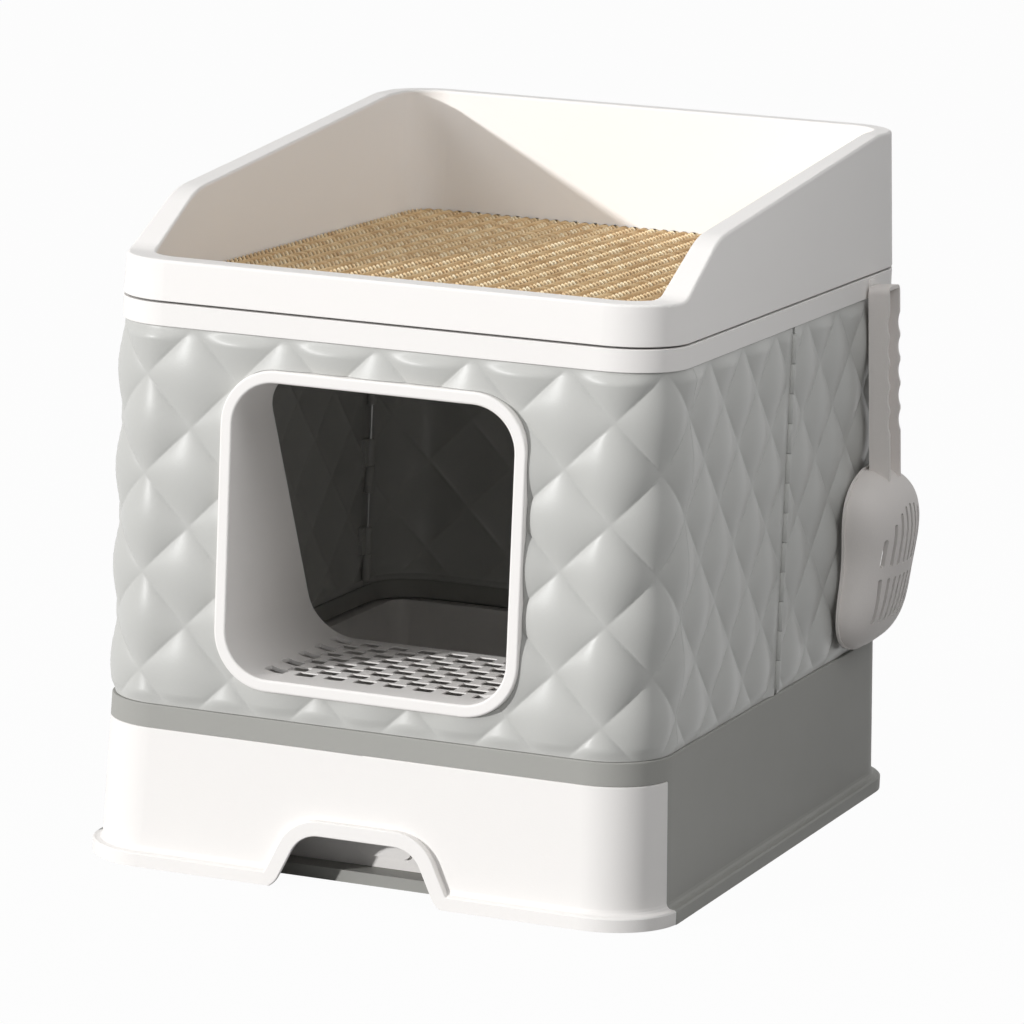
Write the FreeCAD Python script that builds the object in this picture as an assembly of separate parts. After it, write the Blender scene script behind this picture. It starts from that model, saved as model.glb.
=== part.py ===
import FreeCAD, Part
import math
import os

V = FreeCAD.Vector

# Enclosed litter box in millimetres. +X is right, -Y is the front, +Z is up, and the origin is on
# the ground under the middle of the reference outline, which base, walls, lid and tray all follow.

# Reference outline of the housing
REF_HX = 194.6
REF_HY = 246.1
REF_R = 44.0

# Heights of the storeys, from the ground up
BASE_H = 108.4
RAIL_H = 15.2
WALL_H = 248.9
LID_BAND_H = 14.8
SEAM_GAP = 1.4

# Base housing
BASE_OUT = 0.2
BASE_DRAFT_X = 4.0
BASE_DRAFT_Y = 1.6
FOOT_PROUD_X = 6.2
FOOT_PROUD_Y = 5.1
FOOT_H = 9.5
FOOT_EDGE = 1.0
COVE = 3.6
FLOOR_T = 2.6
FLOOR_UP = 8.0
FLOOR_FRONT_IN = 28.0
FLOOR_SIDE_IN = 16.0
FLOOR_BEAM_T = 4.0
SKIN_T = 2.6
WELD = 1.6
COVE_STEP = 0.2
EDGE_ROUND = 0.9

# Drawer front, hand notch and litter pan
DRAWER_SPLIT_IN = 37.6
NOTCH_HW = 39.2
NOTCH_FOOT_HW = 57.0
NOTCH_END_HW = 90.0
NOTCH_END_R = 1.0
NOTCH_H = 37.3
NOTCH_R = 20.6
NOTCH_FOOT_R = 14.5
NOTCH_BORDER = 10.0
NOTCH_SKIN = 2.2
NOTCH_UNDER = 2.4
BORDER_FOOT_H = 7.0
DECK_BACK_IN = 27.9
DECK_LIP_H = 34.0
DECK_LIP_SIDE = 74.6
PAN_RIM_IN = 15.0
PAN_FRONT_IN = 39.5
PAN_RIM_DROP = 2.0
PAN_DRAFT = 8.0
PAN_T = 2.2
PAN_FLANGE = 11.2
PAN_FLANGE_R = 38.8
PAN_R = 12.0
PAN_FOOT_R = 10.0
WINDOW_HW = 18.5
WINDOW_H = 10.5
WINDOW_Z = 21.5
WINDOW_T = 1.6
WINDOW_ROOT = 3.0
FIT_TRIM = 0.05

# Quilted wall panels: seams run on the valley surface, pillows rise from it
WALL_IN = 2.0
WALL_T = 3.0
QUILT_COLS = 13
QUILT_ZH = 32.5
QUILT_DROP = 10.9
PILLOW_RISE = 4.3
PILLOW_RING = 0.62
HOLLOW_RISE = 3.4
EDGE_RISE = 0.6
EDGE_FADE = 9.0
TONGUE_ROOT = 1.5
TONGUE_IN = 3.0
TONGUE_T = 2.0
TONGUE_H = 10.5
GROOVE_LIP_T = 2.0
GROOVE_LIP_DROP = 2.4
TONGUE_FIT = 0.4

# Panel hinges: corner hinges stand inside, fold hinges form the bead outside
CORNER_PIN_R = 1.2
CORNER_BARREL_R = 3.2
CORNER_AXIS_IN = 7.0
CORNER_FLAT = 6.0
FOLD_PIN_R = 0.9
FOLD_BARREL_R = 2.4
FOLD_AXIS_IN = 0.2
FOLD_END = 4.0
FOLD_LEAF_IN = 1.2
FOLD_LEAF_UP = 0.2
FOLD_LEAF_W = 2.0
KNUCKLE_L = 20.0
LEAF_W = 9.0
LEAF_SINK = 0.6
PIN_CLEAR = 0.05

# Entry bezel and tunnel
ENTRY_SHARE = 0.5
ENTRY_SILL = 26.9
ENTRY_HEAD = 28.8
ENTRY_R = 29.5
BEZEL_W = 8.2
BEZEL_PROUD = 4.4
BEZEL_LIP_T = 3.4
BEZEL_ROUND = 1.6
TUNNEL_T = 2.4
TUNNEL_TOP_IN = 45.6
TUNNEL_STEP_IN = 143.1
TUNNEL_FLANGE = 8.0
TUNNEL_FLANGE_T = 2.4
STEP_T = 0.9
STEP_HOLE_X = 13.2
STEP_HOLE_Y = 11.2
STEP_HOLE_R = 1.5
STEP_RIB = 3.0
STEP_SIDE = 24.85
STEP_COLS = 8
STEP_PITCH_Y = 13.15
STEP_FIRST_IN = 24.1
STEP_ROWS = 9

# Lid ring and top tray
LID_OUT = -0.2
LID_TOP_T = 2.4
LID_OPEN_IN = 15.4
BAND_ROUND = 0.6
TRAY_LEAN = 5.4
TRAY_T = 2.6
TRAY_POCKET_IN = 18.6
TRAY_DRAFT = 3.0
TRAY_FOOT_IN = 12.4
TRAY_FLOOR_H = 5.0
TRAY_FLOOR_T = 2.5
TRAY_LIP_H = 26.5
TRAY_REAR_H = 94.0
TRAY_RAMP_IN = 37.1
TRAY_SHOULDER_IN = 100.1
TRAY_SHOULDER_H = 60.0
TRAY_LEVEL_IN = 66.1
TRAY_ROUND_LOW = 30.0
TRAY_ROUND_HIGH = 70.0
TRAY_ROUND_REAR = 60.0
TRAY_RIM_ROUND = 2.0
LOCATOR_H = 8.0
MAT_T = 4.0
MAT_CLEAR = 0.4

# Scoop and its hook
SCOOP_REAR_IN = 82.1
SCOOP_STAND = 2.1
HANDLE_TOP_DROP = 6.1
HANDLE_LEN = 136.0
HANDLE_W = 25.5
HANDLE_D = 14.7
HANDLE_T = 2.4
HANDLE_TILT = 3.4
GRIP_WAVES = 5
GRIP_PITCH = 17.0
GRIP_DEPTH = 1.4
GRIP_START = 18.0
BOWL_STAND = 4.0
BOWL_HW = 53.0
BOWL_TOP_DROP = 127.0
BOWL_LEN = 123.0
BOWL_DEPTH = 34.0
BOWL_T = 2.2
BOWL_SQUARE = 0.8
BOWL_POINTS = 11
# Bowl from handle to tip: share of its length, of BOWL_HW and of BOWL_DEPTH
BOWL_FORM = (
    (0.00, 0.28, 0.30),
    (0.03, 0.53, 0.50),
    (0.07, 0.72, 0.68),
    (0.14, 0.88, 0.87),
    (0.28, 0.94, 1.00),
    (0.45, 0.89, 0.97),
    (0.62, 0.93, 0.87),
    (0.78, 1.00, 0.75),
    (0.88, 0.95, 0.62),
    (0.95, 0.80, 0.46),
    (1.00, 0.54, 0.26),
)
RIM_OUT = 1.8
RIM_T = 2.0
SLOT_W = 3.6
SLOT_PITCH = 8.6
SLOT_COUNT = 9
SLOT_WEB_UP = 56.0
SLOT_WEB = 8.0
SLOT_UP_L = 41.0
SLOT_DOWN_L = 32.0
SLOT_ARCH = 21.0
SLOT_CURVE = 2.2
HOOK_W = 12.0
HOOK_PLATE_T = 1.4
HOOK_PLATE_H = 12.6
HOOK_ARM_T = 3.0
HOOK_LIP_H = 2.4
HOOK_LIP_T = 2.6
HOOK_PLAY = 1.4
HANG_SLOT_H = 9.2

# Clearance between pieces that move past each other
GAP = 0.3

# Levels and positions that follow from the sizes above
Z_RAIL = BASE_H - RAIL_H
Z_LID = BASE_H + WALL_H
Z_SEAM = Z_LID + LID_BAND_H
Z_TRAY = Z_SEAM + SEAM_GAP
FAR = 4.0 * (REF_HX + REF_HY)
FRONT_Y = -REF_HY
FLOOR_FRONT_Y = FRONT_Y + FLOOR_FRONT_IN
DRAWER_SPLIT_Y = FRONT_Y + DRAWER_SPLIT_IN
DECK_BACK_Y = FRONT_Y + DECK_BACK_IN
DECK_LIP_HW = REF_HX - DECK_LIP_SIDE
PAN_FRONT_Y = FRONT_Y + PAN_FRONT_IN
PAN_RIM_Z = Z_RAIL - PAN_RIM_DROP
ENTRY_HX = REF_HX * ENTRY_SHARE
ENTRY_HZ = (WALL_H - ENTRY_SILL - ENTRY_HEAD) / 2
ENTRY_Z = BASE_H + ENTRY_SILL + ENTRY_HZ
TUNNEL_TOP_Y = FRONT_Y + TUNNEL_TOP_IN
TUNNEL_STEP_Y = FRONT_Y + TUNNEL_STEP_IN
STEP_PITCH_X = 2 * (ENTRY_HX - STEP_SIDE) / (STEP_COLS - 1)
STEP_FIRST_Y = FRONT_Y + STEP_FIRST_IN
TRAY_RAMP_Y = FRONT_Y + TRAY_RAMP_IN
TRAY_SHOULDER_Y = FRONT_Y + TRAY_SHOULDER_IN
TRAY_LEVEL_Y = REF_HY - TRAY_LEVEL_IN
SCOOP_Y = REF_HY - SCOOP_REAR_IN
HANDLE_TOP_Z = Z_SEAM - HANDLE_TOP_DROP
BOWL_TOP_Z = HANDLE_TOP_Z - BOWL_TOP_DROP
BOWL_TIP_Z = BOWL_TOP_Z - BOWL_LEN
SLOT_WEB_Z = BOWL_TIP_Z + SLOT_WEB_UP
HOOK_ARM_Z = Z_LID + GAP
WALL_HX = REF_HX - WALL_IN
WALL_HY = REF_HY - WALL_IN
WALL_R = REF_R - WALL_IN
WALL_ARC = WALL_R * math.pi / 2
WALL_FX = WALL_HX - WALL_R
WALL_FY = WALL_HY - WALL_R
QUILT_SH = (WALL_FX + WALL_ARC + WALL_FY) / QUILT_COLS
QUILT_Z0 = BASE_H - QUILT_DROP
QUILT_ROWS = math.ceil((WALL_H + QUILT_DROP) / (2 * QUILT_ZH) - 0.001)
CORNER_COL = math.ceil((WALL_FX + WALL_ARC + CORNER_FLAT) / QUILT_SH)
CORNER_Y = -WALL_FY + CORNER_COL * QUILT_SH - WALL_FX - WALL_ARC


def outline(hx, hy, r, z, y=0.0):
    """Rounded-rectangle wire at height z, centred on y."""
    fx, fy = hx - r, hy - r
    m = r * math.sqrt(0.5)
    edges = []
    for sx, sy, start, end in (
        (1, -1, V(fx, -hy, 0), V(hx, -fy, 0)),
        (1, 1, V(hx, fy, 0), V(fx, hy, 0)),
        (-1, 1, V(-fx, hy, 0), V(-hx, fy, 0)),
        (-1, -1, V(-hx, -fy, 0), V(-fx, -hy, 0)),
    ):
        middle = V(sx * (fx + m), sy * (fy + m), 0)
        if edges:
            edges.append(Part.makeLine(edges[-1].Vertexes[-1].Point, start))
        edges.append(Part.Arc(start, middle, end).toShape())
    edges.append(Part.makeLine(V(-fx, -hy, 0), V(fx, -hy, 0)))
    wire = Part.Wire(edges)
    wire.translate(V(0, y, z))
    return wire


def on_outline(shape, size, z):
    """Edges of a shape that lie on a rounded rectangle at height z."""
    wire = outline(*size, z)
    found = []
    for edge in shape.Edges:
        middle = edge.valueAt((edge.FirstParameter + edge.LastParameter) / 2)
        if wire.distToShape(Part.Vertex(middle))[0] < 0.01:
            found.append(edge)
    return found


def slab(size, z0, z1, y=0.0):
    """Upright prism over a rounded rectangle."""
    return Part.Face(outline(*size, z0, y)).extrude(V(0, 0, z1 - z0))


def ref(offset):
    """Size of the reference outline grown by an offset."""
    return REF_HX + offset, REF_HY + offset, REF_R + offset


def ring(outer, inner, z0, z1):
    """Upright band between two offsets of the reference outline."""
    return slab(ref(outer), z0, z1).cut(slab(ref(inner), z0 - 1, z1 + 1))


def box(x0, x1, y0, y1, z0, z1):
    return Part.makeBox(x1 - x0, y1 - y0, z1 - z0, V(x0, y0, z0))


def rounded_path(points, radii):
    """Wire through points with each inner corner rounded to its radius."""
    edges = []
    last = points[0]
    for before, corner, after, radius in zip(points, points[1:], points[2:], radii):
        a = (before - corner).normalize()
        b = (after - corner).normalize()
        half = a.getAngle(b) / 2
        reach = radius / math.tan(half)
        start, end = corner + a * reach, corner + b * reach
        inward = (a + b).normalize()
        middle = corner + inward * (radius / math.sin(half) - radius)
        edges.append(Part.makeLine(last, start))
        edges.append(Part.Arc(start, middle, end).toShape())
        last = end
    edges.append(Part.makeLine(last, points[-1]))
    return edges


def closed_prism(edges, direction):
    """Prism over a path whose ends are joined by a straight edge."""
    first = edges[0].Vertexes[0].Point
    last = edges[-1].Vertexes[-1].Point
    return Part.Face(Part.Wire(edges + [Part.makeLine(last, first)])).extrude(direction)


def cylinder(radius, x, y, z0, z1):
    return Part.makeCylinder(radius, z1 - z0, V(x, y, z0))


# Base housing


def base_size(z, inset=0.0):
    """Outline of the drafted base wall at height z."""
    lean = 1.0 - z / BASE_H
    hx = REF_HX + BASE_OUT + BASE_DRAFT_X * lean - inset
    hy = REF_HY + BASE_OUT + BASE_DRAFT_Y * lean - inset
    return hx, hy, REF_R + BASE_OUT - inset


def foot_size(inset=0.0):
    hx, hy, r = base_size(0.0)
    return hx + FOOT_PROUD_X - inset, hy + FOOT_PROUD_Y - inset, r + FOOT_PROUD_Y - inset


def grown(size, out):
    return size[0] + out, size[1] + out, size[2] + out


def base_body():
    """Solid envelope of base and drawer front, with the foot flange and its cove."""
    wires = [
        outline(*foot_size(), 0.0),
        outline(*foot_size(), FOOT_H - FOOT_EDGE),
        outline(*foot_size(FOOT_EDGE), FOOT_H),
    ]
    for step in range(4):
        angle = math.radians(30.0 * step)
        z = FOOT_H + COVE_STEP + COVE * (1 - math.cos(angle))
        wires.append(outline(*grown(base_size(z), COVE * (1 - math.sin(angle))), z))
    wires.append(outline(*base_size(BASE_H), BASE_H))
    return Part.makeLoft(wires, True, True)


def base_hollow(z0, z1, inset):
    return Part.makeLoft(
        [outline(*base_size(z0, inset), z0), outline(*base_size(z1, inset), z1)], True, True
    )


def groove_wall():
    """How far the groove's outer face stands inside the reference outline."""
    return TONGUE_IN - TONGUE_FIT


def groove_lip():
    """How far the groove's inner lip stands inside the reference outline."""
    return TONGUE_IN + TONGUE_T + TONGUE_FIT


def make_base_frame():
    inset = groove_wall() + BASE_OUT
    shell = base_body().cut(base_hollow(-1.0, BASE_H + 1.0, inset))
    floor = base_hollow(FLOOR_UP - FLOOR_T, FLOOR_UP, inset - WELD)
    floor = floor.cut(box(-FAR, FAR, -FAR, DRAWER_SPLIT_Y, -FAR, FAR))
    side = REF_HX - FLOOR_SIDE_IN
    sill = box(-side, side, FLOOR_FRONT_Y, DRAWER_SPLIT_Y + WELD, FLOOR_UP - FLOOR_T, FLOOR_UP)
    beam = box(-side, side, FLOOR_FRONT_Y, FLOOR_FRONT_Y + FLOOR_BEAM_T, 0.0, FLOOR_UP)
    mouth = box(-FAR, FAR, -FAR, DRAWER_SPLIT_Y, -1.0, Z_RAIL)
    lip = ring(-groove_lip(), -groove_lip() - GROOVE_LIP_T, Z_RAIL, BASE_H - GROOVE_LIP_DROP)
    web = ring(-groove_wall() + WELD, -groove_lip() - GROOVE_LIP_T, Z_RAIL, Z_RAIL + SKIN_T)
    frame = shell.fuse([floor, lip, web]).cut(mouth).fuse([sill, beam]).removeSplitter()
    return frame.makeFillet(EDGE_ROUND, on_outline(frame, base_size(BASE_H), BASE_H))


def notch_path(grow, y):
    """Arch of the hand notch, running out along the foot on both sides."""
    lean = math.atan((NOTCH_FOOT_HW - NOTCH_HW) / NOTCH_H)
    foot = (BORDER_FOOT_H + NOTCH_UNDER) * grow / NOTCH_BORDER - NOTCH_UNDER
    top = NOTCH_H + grow

    def side(z):
        return NOTCH_FOOT_HW - z * math.tan(lean) + grow / math.cos(lean)

    half = [(NOTCH_END_HW, -FOOT_H), (NOTCH_END_HW, foot), (side(foot), foot), (side(top), top)]
    points = [V(-x, y, z) for x, z in half] + [V(x, y, z) for x, z in reversed(half)]
    radii = [NOTCH_END_R, NOTCH_FOOT_R - foot, NOTCH_R + grow]
    return rounded_path(points, radii + radii[::-1])


def make_drawer_front():
    top = Z_RAIL - GAP
    mouth = box(-FAR, FAR, -FAR, DRAWER_SPLIT_Y - GAP, GAP, top)
    body = base_body().common(mouth)
    hollow = base_hollow(-1.0, top - SKIN_T, SKIN_T)
    deck = box(-FAR, FAR, DECK_BACK_Y, 0.0, top - SKIN_T - 0.1, FAR)
    deck = deck.common(base_hollow(0.0, BASE_H, SKIN_T))
    front = foot_size()[1]
    depth = front - base_size(BASE_H)[1] + SKIN_T
    border = closed_prism(notch_path(NOTCH_BORDER, -front), V(0, depth, 0))
    border = border.common(box(-FAR, FAR, -FAR, 0.0, GAP, top))
    notch = closed_prism(notch_path(0.0, -front - 1.0), V(0, depth + 6.0, 0))
    inner = closed_prism(notch_path(NOTCH_BORDER - SKIN_T, NOTCH_SKIN - front), V(0, depth, 0))
    lip = box(-DECK_LIP_HW, DECK_LIP_HW, DECK_BACK_Y - SKIN_T, DECK_BACK_Y, top - DECK_LIP_H, top)
    drawer = body.cut([hollow, deck]).fuse([border, lip]).cut([notch, inner]).removeSplitter()
    drawer = drawer.makeFillet(EDGE_ROUND, on_outline(drawer, base_size(top), top))
    rim = []
    for edge in drawer.Edges:
        b = edge.BoundBox
        near = max(abs(b.XMin), abs(b.XMax)) < NOTCH_FOOT_HW + 2 * NOTCH_BORDER
        if near and b.YLength < 0.02 and b.YMax < 0.05 - front and b.ZMax > FOOT_H + COVE:
            rim.append(edge)
    return drawer.makeFillet(EDGE_ROUND, rim)


def make_litter_pan():
    z0 = FLOOR_UP + GAP
    back = REF_HY - PAN_RIM_IN
    mid = (back + PAN_FRONT_Y) / 2
    hx, hy = REF_HX - PAN_RIM_IN, (back - PAN_FRONT_Y) / 2

    def tub(grow, low, high):
        foot = outline(hx - PAN_DRAFT + grow, hy - PAN_DRAFT + grow, PAN_FOOT_R + grow, low, mid)
        rim = outline(hx + grow, hy + grow, PAN_R + grow, high, mid)
        return Part.makeLoft([foot, rim], True, True)

    outer = tub(PAN_T, z0, PAN_RIM_Z)
    size = (hx + PAN_FLANGE, hy + PAN_FLANGE, PAN_FLANGE_R)
    flange = slab(size, PAN_RIM_Z - PAN_T, PAN_RIM_Z, mid)
    wall_y = PAN_FRONT_Y - PAN_T + PAN_DRAFT * (PAN_RIM_Z - WINDOW_Z) / (PAN_RIM_Z - z0)
    boss = slab((WINDOW_HW, WINDOW_H / 2, WINDOW_H / 2 - FIT_TRIM), 0.0, WINDOW_ROOT + WINDOW_T)
    boss.rotate(V(0, 0, 0), V(1, 0, 0), 90)
    boss.translate(V(0, wall_y + WINDOW_ROOT, WINDOW_Z))
    inner = tub(0.0, z0 + PAN_T, PAN_RIM_Z + 0.01)
    return outer.fuse([flange, boss]).cut(inner).removeSplitter()


# Quilted wall panels


def on_wall(s, z, out):
    """Point at arc length s from the middle of the front, at an offset from the valley surface."""
    side = 1 if s >= 0 else -1
    run = abs(s)
    if run <= WALL_FX:
        return V(side * run, -WALL_HY - out, z)
    run -= WALL_FX
    if run <= WALL_ARC:
        turn = run / WALL_R
        reach = WALL_R + out
        return V(side * (WALL_FX + reach * math.sin(turn)), -WALL_FY - reach * math.cos(turn), z)
    return V(side * (WALL_HX + out), run - WALL_ARC - WALL_FY, z)


def triangle(a, b, c):
    return Part.Face(Part.makePolygon([a, b, c, a]))


def pillow(col, zc, seams):
    """Facets of one diamond: outer pillow, inner hollow; its four seams are noted in seams."""

    def at(du, dz, out):
        return on_wall((col + du) * QUILT_SH, zc + dz * QUILT_ZH, out)

    tips = [(0, -1), (1, 0), (0, 1), (-1, 0)]
    folded = col == QUILT_COLS
    crown = at(0, 0, 0.0 if folded else PILLOW_RISE)
    cave = at(0, 0, (0.0 if folded else HOLLOW_RISE) - WALL_T)
    faces = []
    for (u0, w0), (u1, w1) in zip(tips, tips[1:] + tips[:1]):
        a, b = at(u0, w0, 0), at(u1, w1, 0)
        mid = at((u0 + u1) / 2, (w0 + w1) / 2, 0)
        ra = at(u0 / 2, w0 / 2, 0.0 if folded and u0 == 0 else PILLOW_RISE * PILLOW_RING)
        rb = at(u1 / 2, w1 / 2, 0.0 if folded and u1 == 0 else PILLOW_RISE * PILLOW_RING)
        ia, ib = at(u0, w0, -WALL_T), at(u1, w1, -WALL_T)
        faces += [triangle(a, mid, ra), triangle(mid, b, rb), triangle(mid, rb, ra)]
        faces += [triangle(ra, rb, crown), triangle(ia, ib, cave)]
        key = (round(2 * col + u0 + u1), round(2 * (zc - QUILT_Z0) / QUILT_ZH + w0 + w1))
        seams.setdefault(key, []).append((a, mid, b, ia, ib))
    return faces


def quilt(first, last):
    """Closed solid of the pillows of columns first to last."""
    faces = []
    seams = {}
    for col in range(first, last + 1):
        odd = col % 2
        for row in range(QUILT_ROWS + odd):
            faces += pillow(col, QUILT_Z0 + QUILT_ZH * (2 * row + 1 - odd), seams)
    for sides in seams.values():
        if len(sides) == 1:
            a, mid, b, ia, ib = sides[0]
            faces += [triangle(a, mid, ia), triangle(mid, b, ib), triangle(mid, ib, ia)]
    shell = Part.makeCompound(faces)
    shell.sewShape(0.01)
    solid = Part.Solid(shell.Shells[0])
    if solid.Volume < 0:
        solid.reverse()
    return solid.removeSplitter()


def wall_space():
    """Space of the walls: pillows flatten towards the base and the lid."""
    slim, full = ref(EDGE_RISE - WALL_IN), ref(PILLOW_RISE)
    low, high = BASE_H + GAP, Z_LID - GAP
    levels = [(slim, low), (full, low + EDGE_FADE), (full, high - EDGE_FADE), (slim, high)]
    return Part.makeLoft([outline(*size, z) for size, z in levels], True, True)


def panel(first, last, y0, y1):
    """Quilted panel between two upright edges, with the tongues that stand in base and lid."""
    space = wall_space().common(box(-FAR, FAR, y0, y1, BASE_H, Z_LID))
    body = quilt(first, last).common(space)
    inner = -TONGUE_IN - TONGUE_T
    low = ring(-TONGUE_IN, inner, BASE_H - TONGUE_H, BASE_H + GAP + TONGUE_ROOT)
    high = ring(-TONGUE_IN, inner, Z_LID - GAP - TONGUE_ROOT, Z_LID + TONGUE_H)
    strip = low.fuse(high).common(box(-FAR, FAR, y0, y1, -FAR, FAR))
    if first > 0:
        strip = strip.common(box(0.0, FAR, -FAR, FAR, -FAR, FAR))
    return body.fuse(strip)


def corner_axis():
    return REF_HX - CORNER_AXIS_IN, CORNER_Y


def fold_axis():
    return REF_HX - FOLD_AXIS_IN, 0.0


def corner_levels():
    """Heights of the seam crossings on the corner column where a pair of knuckles fits."""
    start = QUILT_Z0 + (QUILT_ZH if CORNER_COL % 2 else 2 * QUILT_ZH)
    levels = [start + 2 * QUILT_ZH * row for row in range(QUILT_ROWS)]
    return [z for z in levels if z - KNUCKLE_L > BASE_H + GAP and z + KNUCKLE_L < Z_LID - GAP]


def corner_knuckles(above):
    """Barrels and leaves of a corner hinge: above or below each seam crossing."""
    x, y = corner_axis()
    side = 1 if above else -1
    solids = []
    for level in corner_levels():
        z0 = level + GAP / 2 if above else level - KNUCKLE_L
        z1 = level + KNUCKLE_L if above else level - GAP / 2
        barrel = cylinder(CORNER_BARREL_R, x, y, z0, z1)
        leaf_y = sorted((y + side * GAP / 2, y + side * LEAF_W))
        leaf = box(x, WALL_HX - LEAF_SINK, leaf_y[0], leaf_y[1], z0, z1)
        solids.append(barrel.fuse(leaf).cut(cylinder(CORNER_PIN_R + PIN_CLEAR, x, y, z0, z1)))
    return solids


def corner_room(above):
    """Space in the neighbour panel that the other panel's knuckles need."""
    x, y = corner_axis()
    return [
        cylinder(CORNER_BARREL_R + GAP, x, y, level - GAP / 2, level + KNUCKLE_L + GAP)
        if above
        else cylinder(CORNER_BARREL_R + GAP, x, y, level - KNUCKLE_L - GAP, level + GAP / 2)
        for level in corner_levels()
    ]


def fold_spans():
    """Height spans of the fold knuckles, alternately of the front and the rear panel."""
    low, high = BASE_H + FOLD_END, Z_LID - FOLD_END
    count = 2 * round((high - low) / (2 * KNUCKLE_L))
    step = (high - low) / count
    return [(low + step * i + GAP / 2, low + step * (i + 1) - GAP / 2) for i in range(count)]


def fold_knuckles(parity):
    """Barrels and leaves of the fold hinge for the front panel (0) or the rear panel (1)."""
    x, y = fold_axis()
    solids = []
    for z0, z1 in fold_spans()[parity::2]:
        barrel = cylinder(FOLD_BARREL_R, x, y, z0, z1)
        reach = y - FOLD_BARREL_R - FOLD_LEAF_W
        leaf = box(WALL_HX - FOLD_LEAF_IN, WALL_HX + FOLD_LEAF_UP, reach, y - GAP / 2, z0, z1)
        solids.append(barrel.fuse(leaf).cut(cylinder(FOLD_PIN_R + PIN_CLEAR, x, y, z0, z1)))
    return solids


def entry_prism(grow, y0, y1):
    """Prism through the front over the entry outline grown by an amount."""
    size = (ENTRY_HX + grow, ENTRY_HZ + grow, ENTRY_R + grow)
    prism = slab(size, 0.0, y1 - y0)
    prism.rotate(V(0, 0, 0), V(1, 0, 0), 90)
    prism.translate(V(0, y1, ENTRY_Z))
    return prism


def bezel_seat():
    """Plane on which the bezel's back bears against the front panel."""
    return -WALL_HY + GAP


def mirrored(shapes, normal):
    return [shape.mirror(V(0, 0, 0), normal) for shape in shapes]


LEFT = V(1, 0, 0)
REAR = V(0, 1, 0)


def make_front_panel():
    body = panel(-CORNER_COL, CORNER_COL, -FAR, CORNER_Y - GAP / 2)
    room = corner_room(True)
    body = body.cut(room + mirrored(room, LEFT))
    own = corner_knuckles(False)
    body = body.fuse(own + mirrored(own, LEFT))
    hole = entry_prism(TUNNEL_T + GAP, -FAR, 0.0)
    seat = entry_prism(BEZEL_W + GAP, -FAR, bezel_seat())
    return body.cut([hole, seat])


def make_back_panel():
    body = panel(-CORNER_COL, CORNER_COL, -FAR, CORNER_Y - GAP / 2)
    room = corner_room(True)
    body = body.cut(room + mirrored(room, LEFT))
    own = corner_knuckles(False)
    return body.fuse(own + mirrored(own, LEFT)).mirror(V(0, 0, 0), REAR)


def make_side_panel(parity):
    """Right front half of a side wall; parity picks which fold knuckles it carries."""
    body = panel(CORNER_COL, QUILT_COLS, CORNER_Y + GAP / 2, -GAP / 2)
    x, y = fold_axis()
    bead = cylinder(FOLD_BARREL_R + GAP, x, y, BASE_H, Z_LID)
    body = body.cut(corner_room(False) + [bead])
    return body.fuse(corner_knuckles(True) + fold_knuckles(parity))


def make_corner_pin():
    x, y = corner_axis()
    levels = corner_levels()
    return cylinder(CORNER_PIN_R, x, y, levels[0] - KNUCKLE_L, levels[-1] + KNUCKLE_L)


def make_fold_pin():
    x, y = fold_axis()
    spans = fold_spans()
    return cylinder(FOLD_PIN_R, x, y, spans[0][0], spans[-1][1])


# Entry


def make_entry_bezel():
    face_y = -REF_HY - BEZEL_PROUD
    outer = entry_prism(BEZEL_W, face_y, bezel_seat())
    edges = [e for e in outer.Edges if all(abs(v.Y - face_y) < 0.01 for v in e.Vertexes)]
    outer = outer.makeFillet(BEZEL_ROUND, edges)
    opening = entry_prism(0.0, face_y - 1.0, 0.0)
    rebate = entry_prism(TUNNEL_T + GAP, face_y + BEZEL_LIP_T, 0.0)
    bezel = outer.cut([opening, rebate])
    rim = []
    for edge in bezel.Edges:
        c = edge.BoundBox
        inside = abs(c.XMax) <= ENTRY_HX + 0.01 and abs(c.XMin) <= ENTRY_HX + 0.01
        if c.YLength < 0.01 and abs(c.YMin - face_y) < 0.01 and inside:
            rim.append(edge)
    return bezel.makeFillet(BEZEL_ROUND, rim)


def make_entry_tunnel():
    front = -REF_HY - BEZEL_PROUD + BEZEL_LIP_T
    tube = entry_prism(TUNNEL_T, front, 0.0)
    inside = -WALL_HY + WALL_T
    flange = entry_prism(TUNNEL_T + TUNNEL_FLANGE, inside, inside + TUNNEL_FLANGE_T)
    body = tube.fuse(flange).cut(entry_prism(0.0, -FAR, FAR))
    top, low = ENTRY_Z + ENTRY_HZ, ENTRY_Z - ENTRY_HZ
    slope = (TUNNEL_STEP_Y - TUNNEL_TOP_Y) / (top - low)
    rise = 2.0 * BEZEL_W
    points = [
        V(-FAR, TUNNEL_TOP_Y - slope * rise, top + rise),
        V(-FAR, TUNNEL_STEP_Y + slope * rise, low - rise),
        V(-FAR, FAR, low - rise),
        V(-FAR, FAR, top + rise),
    ]
    behind = Part.Face(Part.makePolygon(points + points[:1])).extrude(V(2 * FAR, 0, 0))
    holes = []
    for row in range(STEP_ROWS):
        y = STEP_FIRST_Y + STEP_PITCH_Y * row
        half = (STEP_COLS - 1 - row % 2) / 2
        for i in range(int(2 * half) + 1):
            hole = slab((STEP_HOLE_X / 2, STEP_HOLE_Y / 2, STEP_HOLE_R), low - rise, ENTRY_Z, y)
            hole.translate(V((i - half) * STEP_PITCH_X, 0, 0))
            holes.append(hole)
    flat = ENTRY_HX - ENTRY_R
    first = STEP_FIRST_Y - STEP_HOLE_Y / 2
    recess = box(-flat, flat, first, TUNNEL_STEP_Y - STEP_RIB, low - rise, low - STEP_T)
    return body.cut([behind, recess] + holes)


# Lid ring, tray and mat


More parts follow.
